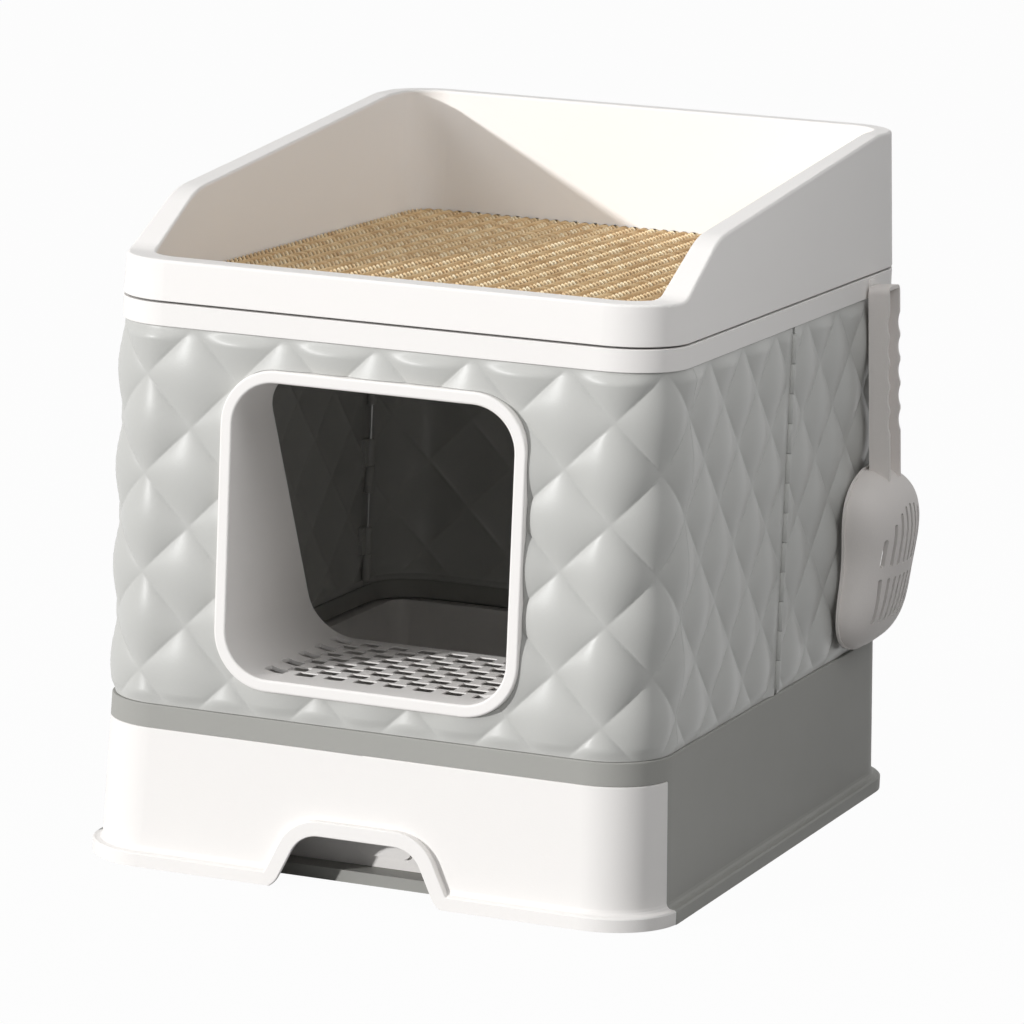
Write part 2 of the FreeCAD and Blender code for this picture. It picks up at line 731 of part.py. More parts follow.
def make_lid_ring():
    body = ring(LID_OUT, -groove_wall(), Z_LID, Z_SEAM)
    top = ring(LID_OUT, -LID_OPEN_IN, Z_SEAM - LID_TOP_T, Z_SEAM)
    lip = ring(-groove_lip(), -groove_lip() - GROOVE_LIP_T, Z_LID, Z_SEAM)
    solid = body.fuse([top, lip]).removeSplitter()
    rim = on_outline(solid, ref(LID_OUT), Z_LID) + on_outline(solid, ref(LID_OUT), Z_SEAM)
    return solid.makeFillet(BAND_ROUND, rim)


def tray_top(drop):
    """Solid above the side profile of the tray's rim, lowered by an amount."""
    z = Z_TRAY - drop
    points = [
        V(-FAR, -FAR, z + TRAY_LIP_H),
        V(-FAR, TRAY_RAMP_Y, z + TRAY_LIP_H),
        V(-FAR, TRAY_SHOULDER_Y, z + TRAY_SHOULDER_H),
        V(-FAR, TRAY_LEVEL_Y, z + TRAY_REAR_H),
        V(-FAR, FAR, z + TRAY_REAR_H),
    ]
    path = rounded_path(points, [TRAY_ROUND_LOW, TRAY_ROUND_HIGH, TRAY_ROUND_REAR])
    over = [V(-FAR, FAR, FAR), V(-FAR, -FAR, FAR)]
    path.append(Part.makeLine(points[-1], over[0]))
    path.append(Part.makeLine(over[0], over[1]))
    return closed_prism(path, V(2 * FAR, 0, 0))


def tray_block(inset):
    """Leaning outer form of the tray, taken in by an inset."""
    high = TRAY_REAR_H + TRAY_T
    low_size = ref(LID_OUT - inset)
    lean = TRAY_LEAN * high / TRAY_REAR_H
    high_size = ref(LID_OUT - inset - lean)
    wires = [outline(*low_size, Z_TRAY), outline(*high_size, Z_TRAY + high)]
    return Part.makeLoft(wires, True, True)


def tray_pocket(grow):
    """Drafted space above the tray's floor, grown by an amount."""
    low_size = ref(grow - TRAY_POCKET_IN - TRAY_DRAFT)
    high_size = ref(grow - TRAY_POCKET_IN)
    high = Z_TRAY + TRAY_REAR_H + 2 * TRAY_T
    wires = [outline(*low_size, Z_TRAY + TRAY_FLOOR_H), outline(*high_size, high)]
    return Part.makeLoft(wires, True, True)


def make_top_tray():
    floor = Z_TRAY + TRAY_FLOOR_H
    inner = -TRAY_POCKET_IN + TRAY_T
    pocket = tray_pocket(0.0)
    below = slab(ref(-TRAY_POCKET_IN), 0.0, floor - TRAY_FLOOR_T)
    block = tray_block(0.0)
    block = block.makeFillet(BAND_ROUND, on_outline(block, ref(LID_OUT), Z_TRAY))
    body = block.cut([tray_top(0.0), pocket])
    rim = []
    for edge in body.Edges:
        box_e = edge.BoundBox
        if box_e.ZMin > Z_TRAY + TRAY_LIP_H - 0.5 and box_e.ZLength < TRAY_REAR_H:
            rim.append(edge)
    body = body.makeFillet(TRAY_RIM_ROUND, rim)
    hollow = tray_block(TRAY_T).cut([tray_top(TRAY_T), tray_pocket(TRAY_T), slab(ref(inner), 0.0, floor)])
    foot = ring(-TRAY_FOOT_IN, inner - FIT_TRIM, Z_SEAM, floor)
    locator = ring(inner, -TRAY_POCKET_IN, Z_SEAM - LOCATOR_H, floor - TRAY_FLOOR_T)
    return body.cut([below, hollow]).fuse([foot, locator])


def make_woven_mat():
    floor = Z_TRAY + TRAY_FLOOR_H
    return slab(ref(-TRAY_POCKET_IN - TRAY_DRAFT - MAT_CLEAR), floor, floor + MAT_T)


# Scoop and hook


def side_prism(points, radii, x0, x1):
    """Prism along X over a closed outline of (y, z) corners, each rounded."""
    ring_points = [V(x0, SCOOP_Y + y, z) for y, z in points]
    start = (ring_points[-1] + ring_points[0]) * 0.5
    path = rounded_path([start] + ring_points + [start], radii)
    return Part.Face(Part.Wire(path)).extrude(V(x1 - x0, 0, 0))


def bowl_body(inset, sunk):
    """Smooth back of the bowl, taken in by an inset and begun below the rim by an amount."""
    low, high = BOWL_TIP_Z + inset, BOWL_TOP_Z - inset
    x0 = REF_HX + BOWL_STAND - sunk
    wires = []
    for share, wide, deep in BOWL_FORM:
        z = high - share * (high - low)
        hw, depth = BOWL_HW * wide - inset, BOWL_DEPTH * deep - inset + sunk
        points = []
        for i in range(BOWL_POINTS):
            angle = math.pi * (i / (BOWL_POINTS - 1) - 0.5)
            across = math.copysign(abs(math.sin(angle)) ** BOWL_SQUARE, angle)
            out = abs(math.cos(angle)) ** BOWL_SQUARE if 0 < i < BOWL_POINTS - 1 else 0.0
            points.append(V(x0 + depth * out, SCOOP_Y + hw * across, z))
        curve = Part.BSplineCurve()
        curve.interpolate(points)
        wires.append(Part.Wire([curve.toShape(), Part.makeLine(points[-1], points[0])]))
    return Part.makeLoft(wires, True, False)


def bowl_rim():
    """Lip round the open side of the bowl."""
    x = REF_HX + BOWL_STAND
    right = [
        V(x, SCOOP_Y + BOWL_HW * wide + RIM_OUT, BOWL_TOP_Z - share * BOWL_LEN)
        for share, wide, deep in BOWL_FORM
    ]
    left = [V(x, 2 * SCOOP_Y - point.y, point.z) for point in reversed(right)]
    curve = Part.BSplineCurve()
    curve.interpolate(right + left, PeriodicFlag=True)
    return Part.Face(Part.Wire([curve.toShape()])).extrude(V(RIM_T, 0, 0))


def handle_frame(shape):
    """Lean a shape built upright about the handle's back at the hook."""
    pivot = V(REF_HX + SCOOP_STAND, SCOOP_Y, HOOK_ARM_Z)
    shape.rotate(pivot, V(0, 1, 0), -HANDLE_TILT)
    return shape


def grip_edge(y0, y1):
    """Solid that trims the handle's flanges to the finger grips."""
    x = REF_HX + SCOOP_STAND + HANDLE_D
    z = HANDLE_TOP_Z - GRIP_START
    waves = []
    for i in range(GRIP_WAVES):
        radius = (GRIP_PITCH * 0.42) ** 2 / (2 * GRIP_DEPTH) + GRIP_DEPTH / 2
        centre = V(x + radius - GRIP_DEPTH, y0, z - GRIP_PITCH * (i + 0.5))
        waves.append(Part.makeCylinder(radius, y1 - y0, centre, V(0, 1, 0)))
    return waves


def make_scoop():
    x = REF_HX + SCOOP_STAND
    y0, y1 = SCOOP_Y - HANDLE_W / 2, SCOOP_Y + HANDLE_W / 2
    low = HANDLE_TOP_Z - HANDLE_LEN
    channel = box(x, x + HANDLE_D, y0, y1, low, HANDLE_TOP_Z)
    corners = [e for e in channel.Edges if e.BoundBox.XLength > 1 and e.BoundBox.ZMin > low + 1]
    channel = channel.makeFillet(HANDLE_W / 5, corners)
    space = box(
        x + HANDLE_T, x + 2 * HANDLE_D, y0 + HANDLE_T, y1 - HANDLE_T, low - 1, HANDLE_TOP_Z - HANDLE_T
    )
    slot_top = HOOK_ARM_Z + HOOK_ARM_T + GAP
    slot = box(
        x - 1,
        x + HANDLE_T + 1,
        SCOOP_Y - HOOK_W / 2 - GAP * 2,
        SCOOP_Y + HOOK_W / 2 + GAP * 2,
        slot_top - HANG_SLOT_H,
        slot_top,
    )
    channel = handle_frame(channel.cut([space, slot] + grip_edge(y0 - 1, y1 + 1)))
    rim_x = REF_HX + BOWL_STAND
    cavity = bowl_body(BOWL_T, RIM_T)
    bowl = bowl_body(0.0, 0.0).fuse(bowl_rim())
    slots = []
    for i in range(SLOT_COUNT):
        y = (i - (SLOT_COUNT - 1) / 2) * SLOT_PITCH
        share = abs(2 * y / (SLOT_PITCH * (SLOT_COUNT - 1))) ** SLOT_CURVE
        up = SLOT_UP_L - SLOT_ARCH * share
        for z0, z1 in (
            (SLOT_WEB_Z + SLOT_WEB / 2, SLOT_WEB_Z + SLOT_WEB / 2 + up),
            (SLOT_WEB_Z - SLOT_WEB / 2 - SLOT_DOWN_L, SLOT_WEB_Z - SLOT_WEB / 2),
        ):
            half = SLOT_W / 2
            corners = [(y - half, z1), (y + half, z1), (y + half, z0), (y - half, z0)]
            slots.append(side_prism(corners, [half - FIT_TRIM] * 4, rim_x, rim_x + 3 * BOWL_DEPTH))
    return bowl.fuse(channel).cut([cavity] + slots)


def make_scoop_hook():
    x0 = REF_HX + LID_OUT
    tip = REF_HX + SCOOP_STAND + HANDLE_T + HOOK_PLAY
    y0, y1 = SCOOP_Y - HOOK_W / 2, SCOOP_Y + HOOK_W / 2
    plate = box(x0, x0 + HOOK_PLATE_T, y0, y1, HOOK_ARM_Z, HOOK_ARM_Z + HOOK_PLATE_H)
    arm = box(x0, tip + HOOK_LIP_T, y0, y1, HOOK_ARM_Z, HOOK_ARM_Z + HOOK_ARM_T)
    lip_top = HOOK_ARM_Z + HOOK_ARM_T + HOOK_LIP_H
    lip = box(tip, tip + HOOK_LIP_T, y0, y1, HOOK_ARM_Z, lip_top)
    return plate.fuse([arm, lip]).removeSplitter()


def build():
    side = [make_side_panel(0), make_side_panel(1)]
    corner_pin, fold_pin = make_corner_pin(), make_fold_pin()
    right_rear = side[1].mirror(V(0, 0, 0), REAR)
    return {
        "base_frame": make_base_frame(),
        "drawer_front": make_drawer_front(),
        "litter_pan": make_litter_pan(),
        "front_panel": make_front_panel(),
        "back_panel": make_back_panel(),
        "right_front_panel": side[0],
        "right_rear_panel": right_rear,
        "left_front_panel": side[0].mirror(V(0, 0, 0), LEFT),
        "left_rear_panel": right_rear.mirror(V(0, 0, 0), LEFT),
        "right_fold_pin": fold_pin,
        "left_fold_pin": fold_pin.mirror(V(0, 0, 0), LEFT),
        "right_front_hinge_pin": corner_pin,
        "left_front_hinge_pin": corner_pin.mirror(V(0, 0, 0), LEFT),
        "right_rear_hinge_pin": corner_pin.mirror(V(0, 0, 0), REAR),
        "left_rear_hinge_pin": corner_pin.mirror(V(0, 0, 0), LEFT).mirror(V(0, 0, 0), REAR),
        "entry_bezel": make_entry_bezel(),
        "entry_tunnel": make_entry_tunnel(),
        "lid_ring": make_lid_ring(),
        "top_tray": make_top_tray(),
        "woven_mat": make_woven_mat(),
        "scoop": make_scoop(),
        "scoop_hook": make_scoop_hook(),
    }


os.makedirs("parts", exist_ok=True)
for name, shape in build().items():
    shape.exportStep("parts/" + name + ".step")
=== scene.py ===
"""Looks of an enclosed litter box, dressed around its packed construction frame.

Every size is in metres, in the frame of the construction model: +X is right, -Y is the front and
+Z is up, with the origin on the ground under the middle of the housing.
"""

import logging
import math
from dataclasses import dataclass, field
from enum import Enum
from typing import Any, Callable, Optional, Sequence, Union

import bmesh
import bpy
from mathutils import Matrix, Vector


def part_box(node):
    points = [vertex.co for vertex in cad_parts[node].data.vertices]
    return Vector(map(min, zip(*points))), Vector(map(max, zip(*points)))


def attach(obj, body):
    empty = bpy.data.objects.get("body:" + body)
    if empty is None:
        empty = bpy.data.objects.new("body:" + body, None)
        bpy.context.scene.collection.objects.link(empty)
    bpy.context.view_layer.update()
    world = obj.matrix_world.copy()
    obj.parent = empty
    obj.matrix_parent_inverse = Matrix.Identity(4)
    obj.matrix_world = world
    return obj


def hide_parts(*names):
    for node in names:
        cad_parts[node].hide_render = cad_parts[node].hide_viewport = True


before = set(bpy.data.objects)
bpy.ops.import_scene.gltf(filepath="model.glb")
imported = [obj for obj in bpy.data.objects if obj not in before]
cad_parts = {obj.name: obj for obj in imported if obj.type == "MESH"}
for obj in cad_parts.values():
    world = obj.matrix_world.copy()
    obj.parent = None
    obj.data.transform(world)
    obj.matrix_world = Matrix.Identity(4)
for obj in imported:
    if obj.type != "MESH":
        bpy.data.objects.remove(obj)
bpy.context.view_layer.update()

LOG = logging.getLogger("litter_box")

Colour = tuple[float, float, float]
Point = tuple[float, float, float]
Pair = tuple[float, float]


class Body(Enum):
    """Bodies of the construction model that the made pieces ride on."""

    HOUSE = "house"
    TRAY = "tray"


class Slot(Enum):
    """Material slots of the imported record."""

    WHITE = "white_plastic"
    GREY = "grey_plastic"
    QUILT = "quilted_grey"
    SCOOP = "warm_grey_plastic"
    STRAW = "straw"
    STEEL = "pin_steel"


class Wire:
    """Output of a shader node that can be used in Python arithmetic."""

    def __init__(self, graph: "Graph", socket: bpy.types.NodeSocket) -> None:
        """Wrap a socket of a graph."""
        self.graph = graph
        self.socket = socket

    def _math(self, operation: str, left: Any, right: Any = 0.0) -> "Wire":
        """Add a Math node.

        Args:
            operation: Name of the operation.
            left: First operand, a wire or a number.
            right: Second operand, a wire or a number.

        Returns:
            The node's value.
        """
        return self.graph.add("ShaderNodeMath", {"operation": operation}, {0: left, 1: right})

    def __add__(self, other: Any) -> "Wire":
        """Sum."""
        return self._math("ADD", self, other)

    def __radd__(self, other: Any) -> "Wire":
        """Sum with a number on the left."""
        return self._math("ADD", other, self)

    def __mul__(self, other: Any) -> "Wire":
        """Product."""
        return self._math("MULTIPLY", self, other)

    def __rmul__(self, other: Any) -> "Wire":
        """Product with a number on the left."""
        return self._math("MULTIPLY", other, self)

    def most(self, other: Any) -> "Wire":
        """Greater of two values."""
        return self._math("MAXIMUM", self, other)


class Graph:
    """Node tree of one material or world, with a single way of adding nodes."""

    def __init__(self, owner: Union[bpy.types.Material, bpy.types.World]) -> None:
        """Clear the owner's node tree and keep it."""
        owner.use_nodes = True
        self.tree = owner.node_tree
        self.tree.nodes.clear()

    def add(
        self,
        kind: str,
        settings: Optional[dict[str, Any]] = None,
        inputs: Optional[dict[Union[int, str], Any]] = None,
        output: Union[int, str] = 0,
    ) -> Wire:
        """Add a node, set it, feed its sockets and return one of its outputs.

        Args:
            kind: Blender's name of the node type.
            settings: Attributes of the node; "stops" are the places and colours of a ramp.
            inputs: Values or wires by socket name or number.
            output: Name or number of the output that is wanted.

        Returns:
            The wanted output.
        """
        node = self.tree.nodes.new(kind)
        for name, value in (settings or {}).items():
            if name == "stops":
                ramp = node.color_ramp.elements
                while len(ramp) < len(value):
                    ramp.new(0.5)
                for element, (place, colour) in zip(ramp, value):
                    element.position = place
                    element.color = (*colour, 1.0)
            else:
                setattr(node, name, value)
        for key, value in (inputs or {}).items():
            if isinstance(value, Wire):
                self.tree.links.new(value.socket, node.inputs[key])
            elif isinstance(value, tuple) and len(value) == 3 and node.inputs[key].type == "RGBA":
                node.inputs[key].default_value = (*value, 1.0)
            else:
                node.inputs[key].default_value = value
        return Wire(self, node.outputs[output] if len(node.outputs) else None)

    def place(self) -> Wire:
        """Coordinates of the piece in the frame of the construction model."""
        return self.add("ShaderNodeTexCoord", output="Object")

    def noise(self, scale: float, detail: float = 2.0, at: Optional[Wire] = None) -> Wire:
        """Add a noise texture.

        Args:
            scale: Waves per metre.
            detail: Octaves of the noise.
            at: Coordinates, or none for the piece's own.

        Returns:
            The noise from 0 to 1.
        """
        inputs = {"Vector": at or self.place(), "Scale": scale, "Detail": detail}
        return self.add("ShaderNodeTexNoise", None, inputs, "Fac")

    def mix(self, share: Any, first: Any, second: Any) -> Wire:
        """Blend two colours.

        Args:
            share: Share of the second colour.
            first: Colour at 0.
            second: Colour at 1.

        Returns:
            The blended colour.
        """
        inputs = {0: share, 6: first, 7: second}
        return self.add("ShaderNodeMix", {"data_type": "RGBA"}, inputs, 2)

    def bump(self, height: Wire, depth: float) -> Wire:
        """Add a bump at full strength.

        Args:
            height: Height from 0 to 1.
            depth: Depth of the relief in metres.

        Returns:
            The bumped normal.
        """
        return self.add("ShaderNodeBump", None, {"Height": height, "Distance": depth, "Strength": 1.0})

    def finish(self, shader: Wire, kind: str = "ShaderNodeOutputMaterial") -> None:
        """Join a shader to the output."""
        self.add(kind, None, {"Surface": shader})


def ease(share: float) -> float:
    """Smooth step from 0 to 1, held outside that range."""
    held = max(0.0, min(1.0, share))
    return held * held * (3 - 2 * held)


def shade(colour: Colour, factor: float) -> Colour:
    """Colour made lighter or darker by a factor."""
    return tuple(min(1.0, channel * factor) for channel in colour)


def place_in_scene(name: str, data: Any) -> bpy.types.Object:
    """Make an object of a mesh, a lamp or a camera and link it to the scene.

    Args:
        name: Name of the object.
        data: Its mesh, lamp or camera.

    Returns:
        The new object.
    """
    made = bpy.data.objects.new(name, data)
    bpy.context.scene.collection.objects.link(made)
    return made


def mesh_object(
    name: str, vertices: Sequence[Point], faces: Sequence[Sequence[int]]
) -> bpy.types.Object:
    """Make a mesh object.

    Args:
        name: Name of the object and its mesh.
        vertices: Corners in metres.
        faces: Corner numbers of each face.

    Returns:
        The new object.
    """
    mesh = bpy.data.meshes.new(name)
    mesh.from_pydata(list(vertices), [], [list(face) for face in faces])
    return place_in_scene(name, mesh)


def rounded_ring(half: Pair, radius: float, steps: int) -> list[Pair]:
    """Rounded rectangle round the origin, counter-clockwise.

    Args:
        half: Half sizes.
        radius: Corner radius.
        steps: Steps in each corner.

    Returns:
        Its points.
    """
    ring = []
    for quarter, (sign_x, sign_y) in enumerate(((1, 1), (-1, 1), (-1, -1), (1, -1))):
        for step in range(steps + 1):
            turn = math.pi / 2 * (quarter + step / steps)
            x = sign_x * (half[0] - radius) + radius * math.cos(turn)
            y = sign_y * (half[1] - radius) + radius * math.sin(turn)
            ring.append((x, y))
    return ring


def prism(low: Sequence[Point], high: Sequence[Point]) -> tuple[list[Point], list[tuple[int, ...]]]:
    """Closed prism between two rings with the same number of points.

    Args:
        low: First ring.
        high: Second ring; seen from beyond it, both run counter-clockwise.

    Returns:
        Corners, and faces that point outward.
    """
    count = len(low)
    faces = [tuple(reversed(range(count))), tuple(range(count, 2 * count))]
    for index in range(count):
        after = (index + 1) % count
        faces.append((index, after, after + count, index + count))
    return [*low, *high], faces


class Finish:
    """Surface finish that becomes a material of its own name."""

    name: str

    def sockets(self, graph: Graph) -> dict[str, Any]:
        """Values and wires of the surface shader, by socket name."""
        raise NotImplementedError

    def material(self) -> bpy.types.Material:
        """Make the material.

        Returns:
            The finished material.
        """
        material = bpy.data.materials.new(self.name)
        graph = Graph(material)
        graph.finish(graph.add("ShaderNodeBsdfPrincipled", None, self.sockets(graph)))
        return material


@dataclass(frozen=True)
class MouldedPlastic(Finish):
    """Injection-moulded plastic with a faint flow mottle and a fine spark-eroded grain.

    Attributes:
        name: Name of the material.
        colour: Linear colour.
        roughness: Mean roughness.
        mottle: Share by which the colour drifts over a wall.
        grain: Depth of the grain in metres.
        grain_scale: Grains per metre.
        gloss: Specular level of the surface.
        flow_scale: Flow marks per metre.
        speck_scale: Specks per metre.
        speck_share: Share of the specks in the mottle.
        wear_scale: Patches of uneven roughness per metre.
        wear: Range of the roughness over those patches.
    """

    name: str
    colour: Colour
    roughness: float = 0.42
    mottle: float = 0.05
    grain: float = 0.00006
    grain_scale: float = 900.0
    gloss: float = 0.3
    flow_scale: float = 9.0
    speck_scale: float = 420.0
    speck_share: float = 0.2
    wear_scale: float = 55.0
    wear: float = 0.10

    OCTAVES = 3.0

    def sockets(self, graph: Graph) -> dict[str, Any]:
        """Mottled colour, uneven roughness and grain.

        Args:
            graph: Node tree of the material.

        Returns:
            Values and wires by socket name.
        """
        flow = graph.noise(self.flow_scale, self.OCTAVES)
        speck = graph.noise(self.speck_scale)
        drift = flow * (1 - self.speck_share) + speck * self.speck_share
        colour = graph.mix(drift, shade(self.colour, 1 - self.mottle), shade(self.colour, 1 + self.mottle))
        grain = graph.noise(self.grain_scale, self.OCTAVES)
        worn = graph.noise(self.wear_scale, self.OCTAVES)
        return {
            "Base Color": colour,
            "Roughness": worn * self.wear + (self.roughness - self.wear / 2),
            "Specular IOR Level": self.gloss,
            "Normal": graph.bump(grain, self.grain),
        }


@dataclass(frozen=True)
class DrawnSteel(Finish):
    """Drawn steel wire with fine lines along its length.

    Attributes:
        name: Name of the material.
        colour: Linear colour of the metal.
        roughness: Roughness of the smoothest lines.
        line_scale: Lines per metre across the wire.
        stretch: Scale of the lines along each axis.
        line_tones: Factors of the colour from the darkest line to the palest.
        line_wear: Range of the roughness over the lines.
        line_depth: Depth of the lines in metres.
    """

    name: str
    colour: Colour = (0.56, 0.56, 0.55)
    roughness: float = 0.3
    line_scale: float = 2600.0
    stretch: Point = (1.0, 1.0, 0.02)
    line_tones: Pair = (0.85, 1.1)
    line_wear: float = 0.15
    line_depth: float = 0.00003

    def sockets(self, graph: Graph) -> dict[str, Any]:
        """Metal with lines in its colour, roughness and relief.

        Args:
            graph: Node tree of the material.

        Returns:
            Values and wires by socket name.
        """
        stretched = graph.add("ShaderNodeMapping", None, {"Vector": graph.place(), "Scale": self.stretch})
        lines = graph.noise(self.line_scale, at=stretched)
        return {
            "Base Color": graph.mix(lines, *(shade(self.colour, tone) for tone in self.line_tones)),
            "Metallic": 1.0,
            "Roughness": lines * self.line_wear + self.roughness,
            "Normal": graph.bump(lines, self.line_depth),
        }


@dataclass(frozen=True)
class WovenStraw(Finish):
    """Split straw: each strand has its own tone, with fibres along it.

    Attributes:
        name: Name of the material.
        tones: Linear colours from the darkest strand to the palest.
        roughness: Roughness of the smoothest fibres.
        stops: Places of the tones between the darkest and the palest strand.
        patch_scale: Faded patches per metre.
        fibre_scale: Fibres per metre.
        shares: Shares of strand, patch and fibre in the tone.
        fibre_wear: Range of the roughness over the fibres.
        fibre_depth: Depth of the fibres in metres.
    """

    name: str
    tones: tuple[Colour, ...] = ((0.55, 0.35, 0.17), (0.86, 0.66, 0.39), (0.98, 0.89, 0.67))
    roughness: float = 0.5
    stops: tuple[float, ...] = (0.08, 0.5, 0.95)
    patch_scale: float = 38.0
    fibre_scale: float = 1500.0
    shares: tuple[float, float, float] = (0.50, 0.30, 0.20)
    fibre_wear: float = 0.2
    fibre_depth: float = 0.00025

    def sockets(self, graph: Graph) -> dict[str, Any]:
        """Colour by strand, patch and fibre, with the fibres' roughness and relief.

        Args:
            graph: Node tree of the material.

        Returns:
            Values and wires by socket name.
        """
        strand = graph.add("ShaderNodeNewGeometry", output="Random Per Island")
        patch = graph.noise(self.patch_scale)
        fibre = graph.noise(self.fibre_scale)
        tone = strand * self.shares[0] + patch * self.shares[1] + fibre * self.shares[2]
        ramp = {"stops": list(zip(self.stops, self.tones))}
        return {
            "Base Color": graph.add("ShaderNodeValToRGB", ramp, {"Fac": tone}, "Color"),
            "Roughness": fibre * self.fibre_wear + self.roughness,
            "Normal": graph.bump(fibre, self.fibre_depth),
        }


class Finishes:
    """One material for each slot of the record, and two more for the mat."""

    def __init__(self) -> None:
        """Make all materials."""
        finishes = {
            Slot.WHITE: MouldedPlastic("satin_white_plastic", (0.88, 0.856, 0.834), mottle=0.012, gloss=0.08),
            Slot.GREY: MouldedPlastic(
                "satin_grey_plastic", (0.375, 0.371, 0.349), roughness=0.45, gloss=0.05
            ),
            Slot.QUILT: MouldedPlastic(
                "quilted_grey_plastic", (0.52, 0.519, 0.498), roughness=0.35, gloss=0.24
            ),
            Slot.SCOOP: MouldedPlastic(
                "matt_warm_grey_plastic", (0.80, 0.76, 0.732), roughness=0.52, grain=0.00010, gloss=0.1
            ),
            Slot.STRAW: WovenStraw("woven_straw"),
            Slot.STEEL: DrawnSteel("drawn_pin_steel"),
        }
        self.by_slot = {slot: finish.material() for slot, finish in finishes.items()}
        # Straw of the right-leaning columns: the same straw made darker, painted shade on those columns.
        self.shade_darkened_cross_straw = WovenStraw(
            "shade_darkened_cross_straw", ((0.41, 0.245, 0.105), (0.62, 0.42, 0.215), (0.80, 0.62, 0.37))
        ).material()
        # Backing under the strands: near-black tones, painted shade in the gaps between strands.
        self.backing = WovenStraw(
            "gap_shade_straw_backing", ((0.06, 0.030, 0.012), (0.10, 0.052, 0.021), (0.14, 0.08, 0.034)), 0.7
        ).material()

    def of(self, slot: Slot) -> bpy.types.Material:
        """Material of a slot."""
        return self.by_slot[slot]


class Workshop:
    """Makes mesh objects, dresses them and lets them ride."""

    def __init__(self, finishes: Finishes) -> None:
        """Keep the finishes."""
        self.finishes = finishes

    def piece(
        self,
        name: str,
        vertices: Sequence[Point],
        faces: Sequence[Sequence[int]],
        slot: Slot,
        smooth: Callable[[int], bool] = lambda index: True,
    ) -> bpy.types.Object:
        """Make a mesh object with a finish.

        Args:
            name: Name of the piece.
            vertices: Corners in metres.
            faces: Corner numbers of each face.
            slot: Slot that gives the finish.
            smooth: Says for a face number whether it is shaded smooth.

        Returns:
            The new object, not yet on a body.
        """
        made = mesh_object(name, vertices, faces)
        made.data.validate()
        for polygon in made.data.polygons:
            polygon.use_smooth = smooth(polygon.index)
        made.data.materials.append(self.finishes.of(slot))
        return made

    def settle(
        self, piece: bpy.types.Object, body: Body, slot: Slot, *nodes: str
    ) -> bpy.types.Object:
        """Put a piece on a body in place of construction nodes.

        Args:
            piece: The object.
            body: Body that it rides on.
            slot: Slot of the record that it shows; not used.
            nodes: Construction nodes that it stands for.

        Returns:
            The same object.
        """
        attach(piece, body.value)
        if nodes:
            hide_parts(*nodes)
        LOG.info("%s rides on %s with %d faces", piece.name, body.value, len(piece.data.polygons))
        return piece

    def dress(self, node: str, slot: Slot) -> None:
        """Give a construction node its finish.

        Args:
            node: Name of the node.
            slot: Slot that gives the finish.
        """
        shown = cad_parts[node]
        shown.data.materials.clear()
        shown.data.materials.append(self.finishes.of(slot))
        LOG.info("%s keeps its construction shape in %s", node, slot.value)


@dataclass(frozen=True)
class HousePlan:
    """Reference outline and storeys that base, walls, lid and tray share.

    Attributes:
        half_x: Half width of the reference outline.
        half_y: Half depth of the reference outline.
        corner: Corner radius of the reference outline.
        wall_in: How far the seams of the quilt lie inside the outline.
        base_top: Height of the base's top.
        lid_bottom: Height of the lid ring's lower edge.
        gap: Clearance between pieces.
    """

    half_x: float = 0.1946
    half_y: float = 0.2461
    corner: float = 0.044
    wall_in: float = 0.002
    base_top: float = 0.1084
    lid_bottom: float = 0.3573
    gap: float = 0.0003

    @property
    def radius(self) -> float:
        """Corner radius of the seam surface."""
        return self.corner - self.wall_in

    @property
    def flat_x(self) -> float:
        """Half length of the straight front."""
        return self.half_x - self.corner

    @property
    def flat_y(self) -> float:
        """Half length of the straight side."""
        return self.half_y - self.corner

    @property
    def arc(self) -> float:
        """Length of a corner's arc on the seam surface."""
        return self.radius * math.pi / 2

    @property
    def quarter(self) -> float:
        """Run from the middle of the front to the middle of a side."""
        return self.flat_x + self.arc + self.flat_y

    def at(self, run: float, height: float, out: float) -> Point:
        """Point on the wall.

        Args:
            run: Length along the seam surface from the middle of the front, positive to the right.
            height: Height above the ground.
            out: Distance outward from the seam surface.

        Returns:
            The point.
        """
        side = 1.0 if run >= 0 else -1.0
        rest = abs(run)
        if rest <= self.flat_x:
            return side * rest, -self.flat_y - self.radius - out, height
        rest -= self.flat_x
        if rest <= self.arc:
            turn = rest / self.radius
            reach = self.radius + out
            return (
                side * (self.flat_x + reach * math.sin(turn)),
                -self.flat_y - reach * math.cos(turn),
                height,
            )
        return side * (self.flat_x + self.radius + out), rest - self.arc - self.flat_y, height

    def run_at(self, x: float, y: float) -> float:
        """Run along the wall of a place near its front half.

        Args:
            x: Place across.
            y: Place along, in the front half.

        Returns:
            The run, positive to the right.
        """
        across, forward = abs(x) - self.flat_x, -self.flat_y - y
        if across <= 0:
            return x
        if forward >= 0:
            return math.copysign(self.flat_x + self.radius * math.atan2(across, forward), x)
        return math.copysign(self.flat_x + self.arc - forward, x)


class Panel(Enum):
    """Wall panels: node, whether it is a side half, and how it is mirrored in X and Y."""

    FRONT = ("front_panel", False, 1, 1)
    BACK = ("back_panel", False, 1, -1)
    RIGHT_FRONT = ("right_front_panel", True, 1, 1)
    RIGHT_REAR = ("right_rear_panel", True, 1, -1)
    LEFT_FRONT = ("left_front_panel", True, -1, 1)
    LEFT_REAR = ("left_rear_panel", True, -1, -1)


